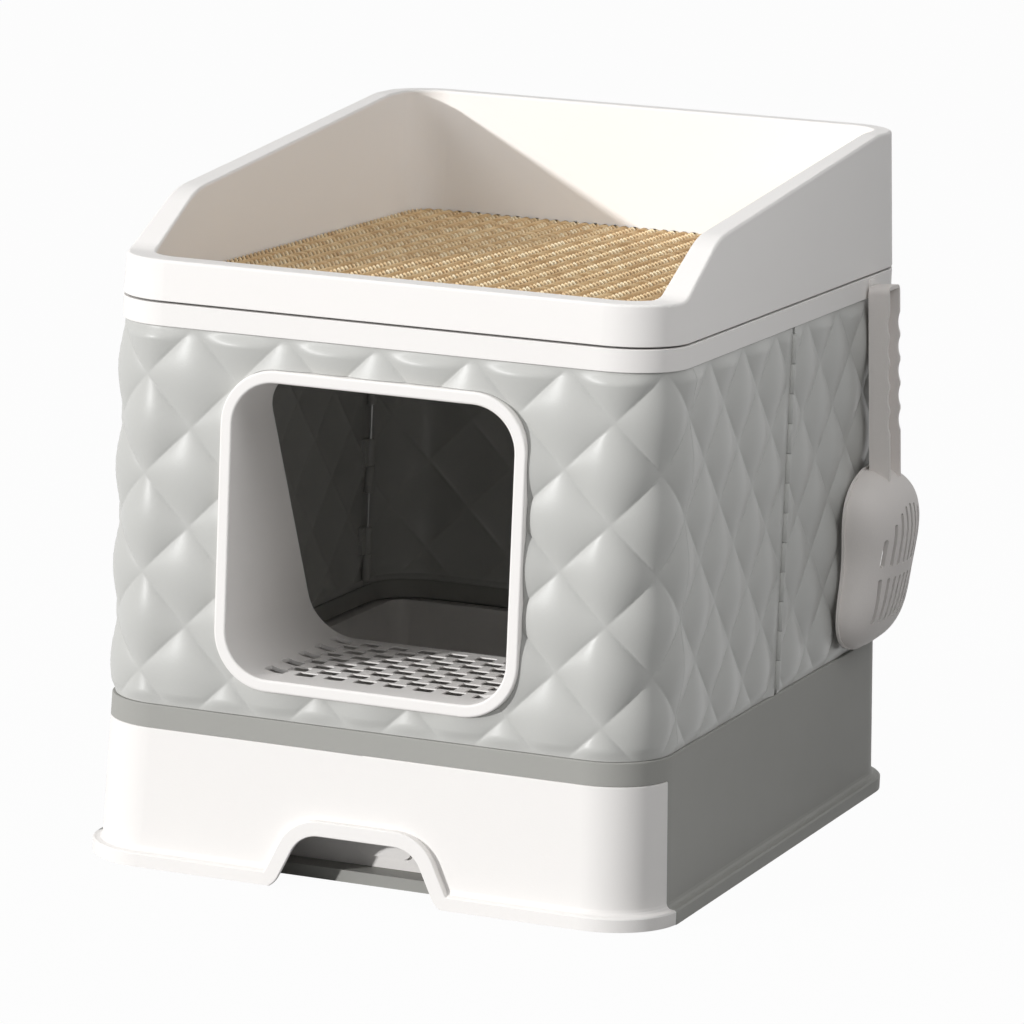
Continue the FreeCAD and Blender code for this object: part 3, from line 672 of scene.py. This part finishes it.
class MeshDraft:
    """Growing list of corners and faces."""

    SIDES = 24

    def __init__(self) -> None:
        """Start empty."""
        self.vertices: list[Point] = []
        self.faces: list[tuple[int, ...]] = []
        self.flat: set[int] = set()

    def add(self, points: Sequence[Point], faces: Sequence[Sequence[int]], flat: bool = False) -> None:
        """Append a group of faces.

        Args:
            points: Corners of the group.
            faces: Faces by corner number within the group.
            flat: Whether the faces keep hard edges.
        """
        start = len(self.vertices)
        self.vertices.extend(points)
        for face in faces:
            if flat:
                self.flat.add(len(self.faces))
            self.faces.append(tuple(start + corner for corner in face))

    def box(self, low: Point, high: Point) -> None:
        """Append a box between two corners."""
        (x0, y0, z0), (x1, y1, z1) = low, high
        points = [(x, y, z) for z in (z0, z1) for y in (y0, y1) for x in (x0, x1)]
        faces = [(0, 2, 3, 1), (4, 5, 7, 6), (0, 1, 5, 4), (2, 6, 7, 3), (0, 4, 6, 2), (1, 3, 7, 5)]
        self.add(points, faces, True)

    def barrel(self, x: float, y: float, z0: float, z1: float, radius: float, chamfer: float) -> None:
        """Append an upright barrel with chamfered ends.

        Args:
            x: Place of the axis.
            y: Place of the axis.
            z0: Lower end.
            z1: Upper end.
            radius: Radius of the barrel.
            chamfer: Width of the chamfers.
        """
        sides = self.SIDES
        levels = (
            (z0, radius - chamfer),
            (z0 + chamfer, radius),
            (z1 - chamfer, radius),
            (z1, radius - chamfer),
        )
        points = []
        for z, reach in levels:
            for step in range(sides):
                turn = 2 * math.pi * step / sides
                points.append((x + reach * math.cos(turn), y + reach * math.sin(turn), z))
        faces = []
        for level in range(len(levels) - 1):
            for step in range(sides):
                after = (step + 1) % sides
                a, b = level * sides + step, level * sides + after
                faces.append((a, b, b + sides, a + sides))
        faces.append(tuple(reversed(range(sides))))
        faces.append(tuple(range(3 * sides, 4 * sides)))
        self.add(points, faces)

    def mirrored(self, sign_x: int, sign_y: int) -> "MeshDraft":
        """Copy mirrored in X and Y, with faces still pointing outward."""
        copy = MeshDraft()
        copy.vertices = [(sign_x * x, sign_y * y, z) for x, y, z in self.vertices]
        turn = sign_x * sign_y < 0
        copy.faces = [tuple(reversed(face)) if turn else face for face in self.faces]
        copy.flat = set(self.flat)
        return copy


@dataclass
class QuiltedWalls:
    """Six quilted wall panels with their tongues and hinge knuckles.

    Attributes:
        shop: Workshop that makes the pieces.
        plan: Outline and storeys of the housing.
        columns: Half diamonds from the middle of the front to the middle of a side.
        half_height: Half height of a diamond.
        drop: How far the lowest seam crossing lies under the base's top.
        rise: Height of a pillow.
        hollow: Depth of a pillow's hollow on the inside.
        thickness: Thickness at the seams.
        puff: Fullness of the pillows; lower is fuller.
        corner_column: Column of the corner hinge.
        edge_fade: Height over which pillows flatten towards base and lid.
        edge_rest: Share of a pillow that is left at base and lid.
        fold_fade: Length over which they flatten towards the fold.
        tongue_out: Outer face of the tongues, outward from the seam surface.
        tongue_in: Inner face of the tongues.
        tongue_height: Height of a tongue inside its groove.
        tongue_bite: How far a tongue reaches into the panel.
        tongue_step: Length of a tongue's facets.
        bead_room: Half width of the slot that the fold bead stands in.
        bead_bed: How far the quilt rises towards that slot, as a share of a pillow's height.
        knuckle: Length of a hinge knuckle.
        barrel: Radius of a corner knuckle.
        barrel_in: How far the corner hinge's axis lies inside the outline.
        barrel_chamfer: Chamfer of a corner knuckle.
        hinge_rows: Knuckles of a panel on a corner hinge.
        bead: Radius of the fold bead.
        bead_in: How far the bead's axis lies inside the outline.
        bead_end: Bare height at both ends of the bead.
        bead_chamfer: Chamfer of a fold knuckle.
        bead_leaf: How far a fold knuckle's leaf reaches past the bead.
        leaf: Width of a corner knuckle's leaf.
        leaf_in: How far that leaf ends inside the seam surface.
        entry: Half width, half height, corner radius and middle height of the entry.
        hole_grow: How far the panel's hole is larger than the entry.
        seat_grow: How far the bezel's seat is larger than the entry.
        cutter_front: Place in front of the box where the entry's cutters start.
    """

    shop: Workshop
    plan: HousePlan
    columns: int = 13
    half_height: float = 0.0325
    drop: float = 0.0109
    rise: float = 0.0043
    hollow: float = 0.0034
    thickness: float = 0.003
    puff: float = 0.72
    corner_column: int = 7
    edge_fade: float = 0.009
    edge_rest: float = 0.15
    fold_fade: float = 0.014
    tongue_out: float = -0.001
    tongue_in: float = -0.003
    tongue_height: float = 0.0105
    tongue_bite: float = 0.0015
    tongue_step: float = 0.006
    bead_room: float = 0.0025
    bead_bed: float = 0.4
    knuckle: float = 0.020
    barrel: float = 0.0032
    barrel_in: float = 0.007
    barrel_chamfer: float = 0.0004
    hinge_rows: int = 4
    bead: float = 0.0024
    bead_in: float = 0.0002
    bead_end: float = 0.004
    bead_chamfer: float = 0.0001
    bead_leaf: float = 0.002
    leaf: float = 0.009
    leaf_in: float = 0.0006
    entry: tuple[float, float, float, float] = (0.0973, 0.0966, 0.0295, 0.2319)
    hole_grow: float = 0.0027
    seat_grow: float = 0.0085
    cutter_front: float = -0.4

    FADE_CUTS = (0.15, 0.32, 0.5, 0.68, 0.85, 1.0)
    ENTRY_STEPS = 16
    WELD = 1e-7
    SLOPE_STEP = 0.0004
    SKIN_NEAR = 0.0006
    SKIN_FACING = 0.6
    STOPS = (0.0, 0.02, 0.06, 0.13, 0.24, 0.37, 0.5, 0.63, 0.76, 0.87, 0.94, 0.98, 1.0)

    @property
    def half_width(self) -> float:
        """Half width of a diamond along the wall."""
        return self.plan.quarter / self.columns

    @property
    def seam_base(self) -> float:
        """Height of the lowest seam crossing."""
        return self.plan.base_top - self.drop

    def pillow(self, run: float, height: float) -> float:
        """Fullness of the quilt at a place.

        Args:
            run: Length along the wall.
            height: Height above the ground.

        Returns:
            0 on a seam and 1 in the middle of a diamond.
        """
        across = run / self.half_width
        upward = (height - self.seam_base) / self.half_height
        first = abs(math.sin(math.pi * (across + upward) / 2))
        second = abs(math.sin(math.pi * (across - upward) / 2))
        edge = min(height - self.plan.base_top, self.plan.lid_bottom - height) / self.edge_fade
        fold = abs(self.plan.quarter - abs(run)) / self.fold_fade
        calm = (self.edge_rest + (1 - self.edge_rest) * ease(edge)) * ease(fold)
        bed = self.bead_bed * ease(1 - fold)
        return bed + (1 - bed) * calm * (first * second) ** self.puff

    def layout(self, first: int, last: int, start: float, end: float) -> bmesh.types.BMesh:
        """Flat diamonds of a panel, trimmed to its edges.

        Args:
            first: First column of diamonds.
            last: Last column of diamonds.
            start: Run of the panel's first upright edge.
            end: Run of its last upright edge.

        Returns:
            A mesh whose X is the run and whose Y is the height.
        """
        low = self.plan.base_top + self.plan.gap
        high = self.plan.lid_bottom - self.plan.gap
        rows = math.ceil((high - self.seam_base) / (2 * self.half_height)) + 1
        made = bmesh.new()
        corners: dict[tuple[int, int], bmesh.types.BMVert] = {}

        def corner(along: float, against: float) -> bmesh.types.BMVert:
            """Shared corner at a place on the two families of seams."""
            key = (round(along * 1000), round(against * 1000))
            if key not in corners:
                run = (along + against) * self.half_width
                height = self.seam_base + (along - against) * self.half_height
                corners[key] = made.verts.new((run, height, 0.0))
            return corners[key]

        for column in range(first, last + 1):
            for row in range(-1, 2 * rows):
                if (column + row) % 2 == 0:
                    continue
                along, against = (column + row - 1) / 2, (column - row - 1) / 2
                for a0, a1 in zip(self.STOPS, self.STOPS[1:]):
                    for b0, b1 in zip(self.STOPS, self.STOPS[1:]):
                        ring = ((a0, b0), (a0, b1), (a1, b1), (a1, b0))
                        made.faces.new([corner(along + a, against + b) for a, b in ring])

        def slice_at(place: Point, normal: Point, trim: bool = True) -> None:
            """Cut the mesh at a plane, and drop what lies beyond it if it is a trim."""
            geometry = [*made.verts, *made.edges, *made.faces]
            bmesh.ops.bisect_plane(
                made, geom=geometry, dist=self.WELD, plane_co=place, plane_no=normal, clear_outer=trim
            )

        slice_at((0, low, 0), (0, -1, 0))
        slice_at((0, high, 0), (0, 1, 0))
        slice_at((start, 0, 0), (-1, 0, 0))
        slice_at((end, 0, 0), (1, 0, 0))
        for share in self.FADE_CUTS:
            for level in (low + share * self.edge_fade, high - share * self.edge_fade):
                slice_at((0, level, 0), (0, 1, 0), False)
        made.verts.index_update()
        return made

    def shell(self, first: int, last: int, start: float, end: float) -> MeshDraft:
        """Closed quilted shell between two upright edges.

        Args:
            first: First column of diamonds.
            last: Last column of diamonds.
            start: Run of the panel's first upright edge.
            end: Run of its last upright edge.

        Returns:
            Corners and faces of the shell.
        """
        flat = self.layout(first, last, start, end)
        places = [(vertex.co.x, vertex.co.y) for vertex in flat.verts]
        full = [self.pillow(*place) for place in places]
        outer = [self.plan.at(*place, self.rise * part) for place, part in zip(places, full)]
        inner = [
            self.plan.at(*place, self.hollow * part - self.thickness)
            for place, part in zip(places, full)
        ]
        count = len(places)
        skin = []
        for face in flat.faces:
            ring = [vertex.index for vertex in face.verts]
            skin.append(ring if face.normal.z > 0 else ring[::-1])
        rim = []
        for edge in flat.edges:
            if len(edge.link_loops) == 1:
                loop = edge.link_loops[0]
                a, b = loop.vert.index, loop.link_loop_next.vert.index
                if loop.face.normal.z < 0:
                    a, b = b, a
                rim.append((b, a, a + count, b + count))
        flat.free()
        draft = MeshDraft()
        inside = [[corner + count for corner in reversed(face)] for face in skin]
        draft.add(outer + inner, [*skin, *inside])
        draft.flat.update(range(len(draft.faces), len(draft.faces) + len(rim)))
        draft.faces.extend(rim)
        return draft

    def tongues(self, draft: MeshDraft, start: float, end: float) -> None:
        """Add the strips that stand in the grooves of base and lid.

        Args:
            draft: Draft that gets them.
            start: Run of the panel's first upright edge.
            end: Run of its last upright edge.
        """
        bite = self.plan.gap + self.tongue_bite
        steps = max(2, round((end - start) / self.tongue_step))
        for z0, z1 in (
            (self.plan.base_top - self.tongue_height, self.plan.base_top + bite),
            (self.plan.lid_bottom - bite, self.plan.lid_bottom + self.tongue_height),
        ):
            points = []
            for step in range(steps + 1):
                run = start + (end - start) * step / steps
                points += [self.plan.at(run, z, self.tongue_out) for z in (z0, z1)]
                points += [self.plan.at(run, z, self.tongue_in) for z in (z1, z0)]
            faces = [(0, 1, 2, 3), tuple(4 * steps + k for k in (3, 2, 1, 0))]
            for step in range(steps):
                here, there = 4 * step, 4 * step + 4
                for a, b in ((0, 1), (1, 2), (2, 3), (3, 0)):
                    faces.append((here + b, here + a, there + a, there + b))
            draft.add(points, faces, True)

    def corner_levels(self) -> list[float]:
        """Heights of the seam crossings on the corner column."""
        first = self.seam_base + self.half_height
        return [first + 2 * self.half_height * row for row in range(self.hinge_rows)]

    def corner_hinge(self, draft: MeshDraft, above: bool) -> None:
        """Add the knuckles of a corner hinge, on the inside.

        Args:
            draft: Draft that gets them.
            above: Whether they lie above the seam crossings, as on the side panels, or below.
        """
        x = self.plan.half_x - self.barrel_in
        y = -self.plan.flat_y + self.corner_column * self.half_width - self.plan.flat_x - self.plan.arc
        wall = self.plan.half_x - self.plan.wall_in - self.leaf_in
        for level in self.corner_levels():
            z0, z1 = (level, level + self.knuckle) if above else (level - self.knuckle, level)
            z0, z1 = z0 + self.plan.gap / 2, z1 - self.plan.gap / 2
            draft.barrel(x, y, z0, z1, self.barrel, self.barrel_chamfer)
            ends = (y, y + self.leaf) if above else (y - self.leaf, y)
            draft.box((x, ends[0], z0), (wall, ends[1], z1))

    def fold_hinge(self, draft: MeshDraft, parity: int) -> None:
        """Add the knuckles of the fold bead, on the outside.

        Args:
            draft: Draft that gets them.
            parity: 0 for the front half's knuckles and 1 for the rear half's.
        """
        x = self.plan.half_x - self.bead_in
        flush = self.plan.half_x - self.plan.wall_in
        low = self.plan.base_top + self.bead_end
        high = self.plan.lid_bottom - self.bead_end
        count = 2 * round((high - low) / (2 * self.knuckle))
        step = (high - low) / count
        for index in range(parity, count, 2):
            z0 = low + step * index + self.plan.gap / 2
            z1 = low + step * (index + 1) - self.plan.gap / 2
            draft.barrel(x, 0.0, z0, z1, self.bead, self.bead_chamfer)
            draft.box((x - self.bead, -self.bead - self.bead_leaf, z0), (flush, -self.plan.gap / 2, z1))

    def entry_prism(self, grow: float, y0: float, y1: float) -> bpy.types.Object:
        """Prism through the front over the entry's outline.

        Args:
            grow: How far the outline is grown.
            y0: Front end.
            y1: Rear end.

        Returns:
            A loose object for cutting.
        """
        half_x, half_z, radius, middle = self.entry
        ring = rounded_ring((half_x + grow, half_z + grow), radius + grow, self.ENTRY_STEPS)
        rear, front = ([(x, y, middle + z) for x, z in ring] for y in (y1, y0))
        return mesh_object("entry_cutter", *prism(rear, front))

    def cut_entry(self, panel: bpy.types.Object) -> None:
        """Cut the entry and the bezel's seat out of the front panel."""
        seat_y = -self.plan.half_y + self.plan.wall_in + self.plan.gap
        cutters = [
            self.entry_prism(self.hole_grow, self.cutter_front, 0.0),
            self.entry_prism(self.seat_grow, self.cutter_front, seat_y),
        ]
        for cutter in cutters:
            cut = panel.modifiers.new("entry", "BOOLEAN")
            cut.operation = "DIFFERENCE"
            cut.solver = "EXACT"
            cut.object = cutter
        ready = panel.evaluated_get(bpy.context.evaluated_depsgraph_get())
        old = panel.data
        panel.data = bpy.data.meshes.new_from_object(ready)
        panel.modifiers.clear()
        bpy.data.meshes.remove(old)
        for cutter in cutters:
            bpy.data.objects.remove(cutter)

    def facing(self, run: float, height: float) -> Vector:
        """Outward direction of the quilt at a place.

        Args:
            run: Length along the wall.
            height: Height above the ground.

        Returns:
            The direction, from the slopes over a short step.
        """
        step = self.SLOPE_STEP

        def skin(along: float, up: float) -> Vector:
            """Point on the outer skin near the place."""
            place = (run + along, height + up)
            return Vector(self.plan.at(*place, self.rise * self.pillow(*place)))

        along = skin(step, 0.0) - skin(-step, 0.0)
        return along.cross(skin(0.0, step) - skin(0.0, -step)).normalized()

    def even_shading(self, panel: bpy.types.Object, sign_y: int) -> None:
        """Shade the outer skin from the quilt's own slopes, also along trimmed edges.

        Args:
            panel: Finished panel.
            sign_y: -1 for a panel in the rear half.
        """
        mesh = panel.data
        normals = [Vector() for _ in mesh.loops]
        for polygon in mesh.polygons:
            if not polygon.use_smooth:
                continue
            for index in polygon.loop_indices:
                x, y, z = mesh.vertices[mesh.loops[index].vertex_index].co
                run = self.plan.run_at(x, sign_y * y)
                out = self.facing(run, z)
                on_skin = Vector(self.plan.at(run, z, self.rise * self.pillow(run, z)))
                out.y *= sign_y
                on_skin.y *= sign_y
                near = (on_skin - Vector((x, y, z))).length < self.SKIN_NEAR
                if near and polygon.normal.dot(out) > self.SKIN_FACING:
                    normals[index] = out
        mesh.normals_split_custom_set(normals)

    def build(self) -> None:
        """Make all six panels."""
        pitch = self.half_width
        trim = self.plan.gap / 2
        corner, fold = self.corner_column * pitch, self.columns * pitch
        front = self.shell(-self.corner_column, self.corner_column, trim - corner, corner - trim)
        extras = MeshDraft()
        self.tongues(extras, trim - corner, corner - trim)
        hinge = MeshDraft()
        self.corner_hinge(hinge, False)
        for part in (hinge, hinge.mirrored(-1, 1)):
            extras.add(part.vertices, part.faces)
        sides = []
        for parity in (0, 1):
            half = self.shell(self.corner_column, self.columns, corner + trim, fold - self.bead_room)
            self.tongues(half, corner + trim, fold - trim)
            self.corner_hinge(half, True)
            self.fold_hinge(half, parity)
            sides.append(half)
        for panel in Panel:
            node, is_side, sign_x, sign_y = panel.value
            draft = sides[sign_y < 0] if is_side else front
            draft = draft.mirrored(sign_x, sign_y)
            made = self.shop.piece(
                "quilted_" + node,
                draft.vertices,
                draft.faces,
                Slot.QUILT,
                lambda index, flat=draft.flat: index not in flat,
            )
            if panel is Panel.FRONT:
                self.cut_entry(made)
            if not is_side:
                self.join(made, extras.mirrored(sign_x, sign_y))
            self.even_shading(made, sign_y)
            self.shop.settle(made, Body.HOUSE, Slot.QUILT, node)

    def join(self, piece: bpy.types.Object, draft: MeshDraft) -> None:
        """Add a draft's faces to a finished piece.

        Args:
            piece: Piece that gets the faces.
            draft: Corners and faces.
        """
        joined = bmesh.new()
        joined.from_mesh(piece.data)
        corners = [joined.verts.new(point) for point in draft.vertices]
        for face in draft.faces:
            made = joined.faces.new([corners[index] for index in face])
            made.smooth = len(face) == 4
        joined.to_mesh(piece.data)
        joined.free()


@dataclass
class WovenMat:
    """Straw mat in a herringbone weave, lying in the tray.

    Attributes:
        shop: Workshop that makes the pieces.
        column: Width of a herringbone column that leans to the left.
        cross_column: Width of a column that leans to the right.
        slant: Run of a strand along the column for each unit across it.
        pitch: Distance from strand to strand along the column.
        strand: Share of the pitch that a strand covers.
        backing: Thickness of the backing.
        relief: Height of a strand over the backing.
        corner: Corner radius of the mat.
        dip: Share of the relief that is left at a strand's ends.
        bow: Power of a strand's bow; lower is flatter on top.
        inset: How far the strands stay inside the backing's edge.
    """

    shop: Workshop
    column: float = 0.0090
    cross_column: float = 0.0060
    slant: float = 1.7
    pitch: float = 0.0062
    strand: float = 0.60
    backing: float = 0.0016
    relief: float = 0.0022
    corner: float = 0.022
    dip: float = 0.2
    bow: float = 0.5
    inset: float = 0.0004

    ACROSS = (-0.5, -0.34, 0.0, 0.34, 0.5)
    ALONG = (0.0, 0.12, 0.36, 0.64, 0.88, 1.0)
    LEAST_INSIDE = 4
    CORNER_STEPS = 8

    def inside(self, x: float, y: float, half: Pair) -> Pair:
        """Nearest place within the mat's rounded outline.

        Args:
            x: Place across.
            y: Place along.
            half: Half sizes of the outline.

        Returns:
            The place, moved onto the outline where it lay outside.
        """
        x = max(-half[0], min(half[0], x))
        y = max(-half[1], min(half[1], y))
        cx, cy = half[0] - self.corner, half[1] - self.corner
        dx, dy = abs(x) - cx, abs(y) - cy
        if dx > 0 and dy > 0:
            reach = math.hypot(dx, dy)
            if reach > self.corner:
                x = math.copysign(cx + dx * self.corner / reach, x)
                y = math.copysign(cy + dy * self.corner / reach, y)
        return x, y

    def strands(self, half: Pair, low: float, lean: int) -> MeshDraft:
        """Strands of every other column, each a bowed strip that dips at both ends.

        Args:
            half: Half sizes of the mat.
            low: Height of the backing's top.
            lean: -1 for the columns that lean to the left and 1 for those between them.

        Returns:
            Corners and faces of the strands.
        """
        draft = MeshDraft()
        width = self.strand * self.pitch
        span = self.cross_column if lean > 0 else self.column
        reach = self.slant * span
        pair = self.column + self.cross_column
        pairs = math.ceil(2 * half[0] / pair)
        rows = math.ceil((2 * half[1] + reach) / self.pitch) + 1
        shift = self.pitch / 2 if lean > 0 else 0.0
        for column in range(pairs):
            x0 = (column - pairs / 2) * pair + (self.column if lean > 0 else 0.0)
            for row in range(rows):
                y0 = -half[1] - reach / 2 + row * self.pitch + shift
                points, kept = [], 0
                for t in self.ALONG:
                    rise = self.dip + (1 - self.dip) * math.sin(math.pi * t) ** self.bow
                    for w in self.ACROSS:
                        x = x0 + t * span
                        y = y0 + lean * (t - 0.5) * reach + w * width
                        place = self.inside(x, y, half)
                        kept += place == (x, y)
                        crown = math.sqrt(max(0.0, 1 - (2 * w) ** 2))
                        points.append((*place, low + self.relief * rise * crown))
                if kept < self.LEAST_INSIDE:
                    continue
                count = len(self.ACROSS)
                faces = []
                for i in range(len(self.ALONG) - 1):
                    for j in range(count - 1):
                        a = i * count + j
                        faces.append((a, a + count, a + count + 1, a + 1))
                draft.add(points, faces)
        return draft

    def build(self) -> None:
        """Make the mat's backing and its strands."""
        low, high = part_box("woven_mat")
        half = (high.x, high.y)
        level = low.z + self.backing
        ring = rounded_ring(half, self.corner, self.CORNER_STEPS)
        slab = prism(*([(x, y, z) for x, y in ring] for z in (low.z, level)))
        backing = self.shop.piece("mat_backing", *slab, Slot.STRAW, lambda index: False)
        # The backing's near-black tones are painted shade in the gaps between the strands.
        backing.data.materials[0] = self.shop.finishes.backing
        self.shop.settle(backing, Body.TRAY, Slot.STRAW, "woven_mat")
        strands = []
        for name, lean in (("mat_strands", -1), ("mat_cross_strands", 1)):
            draft = self.strands((half[0] - self.inset, half[1] - self.inset), level, lean)
            woven = self.shop.piece(name, draft.vertices, draft.faces, Slot.STRAW)
            strands.append(self.shop.settle(woven, Body.TRAY, Slot.STRAW))
        # The right-leaning strands get the darker straw: painted shade on their columns.
        strands[1].data.materials[0] = self.shop.finishes.shade_darkened_cross_straw


@dataclass
class MouldedParts:
    """Construction nodes whose shape is shown as it is, with their finish.

    Attributes:
        shop: Workshop that dresses them.
    """

    shop: Workshop

    NODES = {
        Slot.WHITE: (
            "drawer_front",
            "litter_pan",
            "entry_bezel",
            "entry_tunnel",
            "lid_ring",
            "top_tray",
            "scoop_hook",
        ),
        Slot.GREY: ("base_frame",),
        Slot.SCOOP: ("scoop",),
        Slot.STEEL: (
            "right_fold_pin",
            "left_fold_pin",
            "right_front_hinge_pin",
            "left_front_hinge_pin",
            "right_rear_hinge_pin",
            "left_rear_hinge_pin",
        ),
    }

    def build(self) -> None:
        """Dress every node."""
        for slot, nodes in self.NODES.items():
            for node in nodes:
                self.shop.dress(node, slot)


@dataclass(frozen=True)
class Softbox:
    """A soft lamp.

    Attributes:
        place: Where it hangs.
        toward: Direction from the object to the lamp.
        width: Width of its face.
        height: Height of its face.
        power: Power in watts.
    """

    place: Point
    toward: Point
    width: float
    height: float
    power: float


@dataclass
class Studio:
    """Camera, lamps, backdrop and floor.

    Attributes:
        azimuth: Camera's angle round the object, in degrees from the front.
        elevation: Camera's angle above the ground.
        roll: Camera's roll.
        place: Camera's place.
        lens: Focal length on a 36 mm sensor.
        sun_from: Direction towards the key light.
        sun: Strength of the key light.
        sun_width: Angular width of the key light, in degrees.
        sun_place: Where the key light hangs.
        sky: Strength of the surrounding light.
        sky_colour: Colour of that light.
        softboxes: Soft lamps round the object.
        floor_size: Side of the floor.
        floor_drop: How far it lies under the foot.
        floor_colour: Colour of the light that it throws back.
        floor_white: Share of plain white in it, as the camera sees it.
    """

    azimuth: float = 21.34
    elevation: float = 10.74
    roll: float = 2.34
    place: Point = (1.3076, -3.3475, 0.8939)
    lens: float = 189.5
    sun_from: Point = (-2.6, -3.6, 1.0)
    sun: float = 2.35
    sun_width: float = 1.6
    sun_place: Point = (-2.0, -2.0, 2.0)
    sky: float = 0.21
    sky_colour: Colour = (0.96, 0.98, 1.0)
    softboxes: dict[str, Softbox] = field(
        default_factory=lambda: {
            "overhead": Softbox((0.1, 0.0, 2.2), (0.05, 0.0, 1.0), 1.8, 1.8, 7.0),
            "window": Softbox((-1.6, -2.0, 1.6), (-1.6, -2.0, 1.35), 1.2, 1.2, 19.0),
            "right": Softbox((0.9, -0.5, 1.05), (0.9, -0.5, 0.75), 0.6, 0.6, 3.6),
        }
    )
    floor_size: float = 80.0
    floor_drop: float = 0.0002
    floor_colour: Colour = (0.45, 0.45, 0.45)
    floor_white: float = 0.97

    WHITE = (1.0, 1.0, 1.0)
    SENSOR = 36.0
    FAR = 100.0

    def camera(self) -> None:
        """Place the camera at the photograph's viewing angle."""
        turn, lift, roll = (math.radians(v) for v in (self.azimuth, self.elevation, self.roll))
        back = Vector(
            (math.sin(turn) * math.cos(lift), -math.cos(turn) * math.cos(lift), math.sin(lift))
        )
        right = Vector((math.cos(turn), math.sin(turn), 0.0))
        up = back.cross(right)
        across = math.cos(roll) * right + math.sin(roll) * up
        upward = -math.sin(roll) * right + math.cos(roll) * up
        data = bpy.data.cameras.new("camera")
        data.lens = self.lens
        data.sensor_width = self.SENSOR
        data.clip_end = self.FAR
        made = place_in_scene("camera", data)
        turned = Matrix((across, upward, back)).transposed().to_4x4()
        made.matrix_world = Matrix.Translation(self.place) @ turned
        bpy.context.scene.camera = made

    def lamp(self, name: str, kind: str, toward: Point, at: Point, **settings: Any) -> None:
        """Hang a lamp.

        Args:
            name: Name of the lamp.
            kind: Blender's lamp type.
            toward: Direction from the object to the lamp.
            at: Place of the lamp.
            settings: Attributes of the lamp.
        """
        data = bpy.data.lights.new(name, kind)
        for key, value in settings.items():
            setattr(data, key, value)
        made = place_in_scene(name, data)
        made.location = at
        made.rotation_mode = "QUATERNION"
        made.rotation_quaternion = Vector(toward).to_track_quat("Z", "Y")

    def seen_directly(self, graph: Graph) -> Wire:
        """Mask of rays from the camera, mirrors and glass."""
        rays = [
            graph.add("ShaderNodeLightPath", output=name)
            for name in ("Is Camera Ray", "Is Glossy Ray", "Is Transmission Ray")
        ]
        return rays[0].most(rays[1]).most(rays[2])

    def surroundings(self) -> None:
        """White backdrop that lights the object softly."""
        world = bpy.data.worlds.new("studio")
        bpy.context.scene.world = world
        graph = Graph(world)
        soft = graph.add("ShaderNodeBackground", None, {"Color": self.sky_colour, "Strength": self.sky})
        white = graph.add("ShaderNodeBackground", None, {"Color": self.WHITE, "Strength": 1.0})
        mixed = graph.add("ShaderNodeMixShader", None, {0: self.seen_directly(graph), 1: soft, 2: white})
        graph.finish(mixed, "ShaderNodeOutputWorld")

    def floor(self) -> None:
        """Pale floor that keeps a faint shadow."""
        material = bpy.data.materials.new("pale_floor")
        graph = Graph(material)
        matt = graph.add("ShaderNodeBsdfDiffuse", None, {"Color": self.floor_colour})
        white = graph.add("ShaderNodeEmission", None, {"Color": self.WHITE, "Strength": 1.0})
        share = self.seen_directly(graph) * self.floor_white
        graph.finish(graph.add("ShaderNodeMixShader", None, {0: share, 1: matt, 2: white}))
        half = self.floor_size / 2
        corners = [(-half, -half, 0), (half, -half, 0), (half, half, 0), (-half, half, 0)]
        made = mesh_object("floor", corners, [(0, 1, 2, 3)])
        made.data.materials.append(material)
        made.location.z = -self.floor_drop

    def build(self) -> None:
        """Set up the studio."""
        bpy.context.scene.view_settings.view_transform = "Standard"
        self.camera()
        self.surroundings()
        self.floor()
        width = math.radians(self.sun_width)
        self.lamp("key", "SUN", self.sun_from, self.sun_place, energy=self.sun, angle=width)
        for name, lamp in self.softboxes.items():
            self.lamp(
                name,
                "AREA",
                lamp.toward,
                lamp.place,
                shape="RECTANGLE",
                size=lamp.width,
                size_y=lamp.height,
                energy=lamp.power,
            )


def main() -> None:
    """Build the studio and every piece in order."""
    logging.basicConfig(level=logging.INFO, format="%(name)s: %(message)s")
    Studio().build()
    shop = Workshop(Finishes())
    MouldedParts(shop).build()
    QuiltedWalls(shop, HousePlan()).build()
    WovenMat(shop).build()


if __name__ == "__main__":
    main()
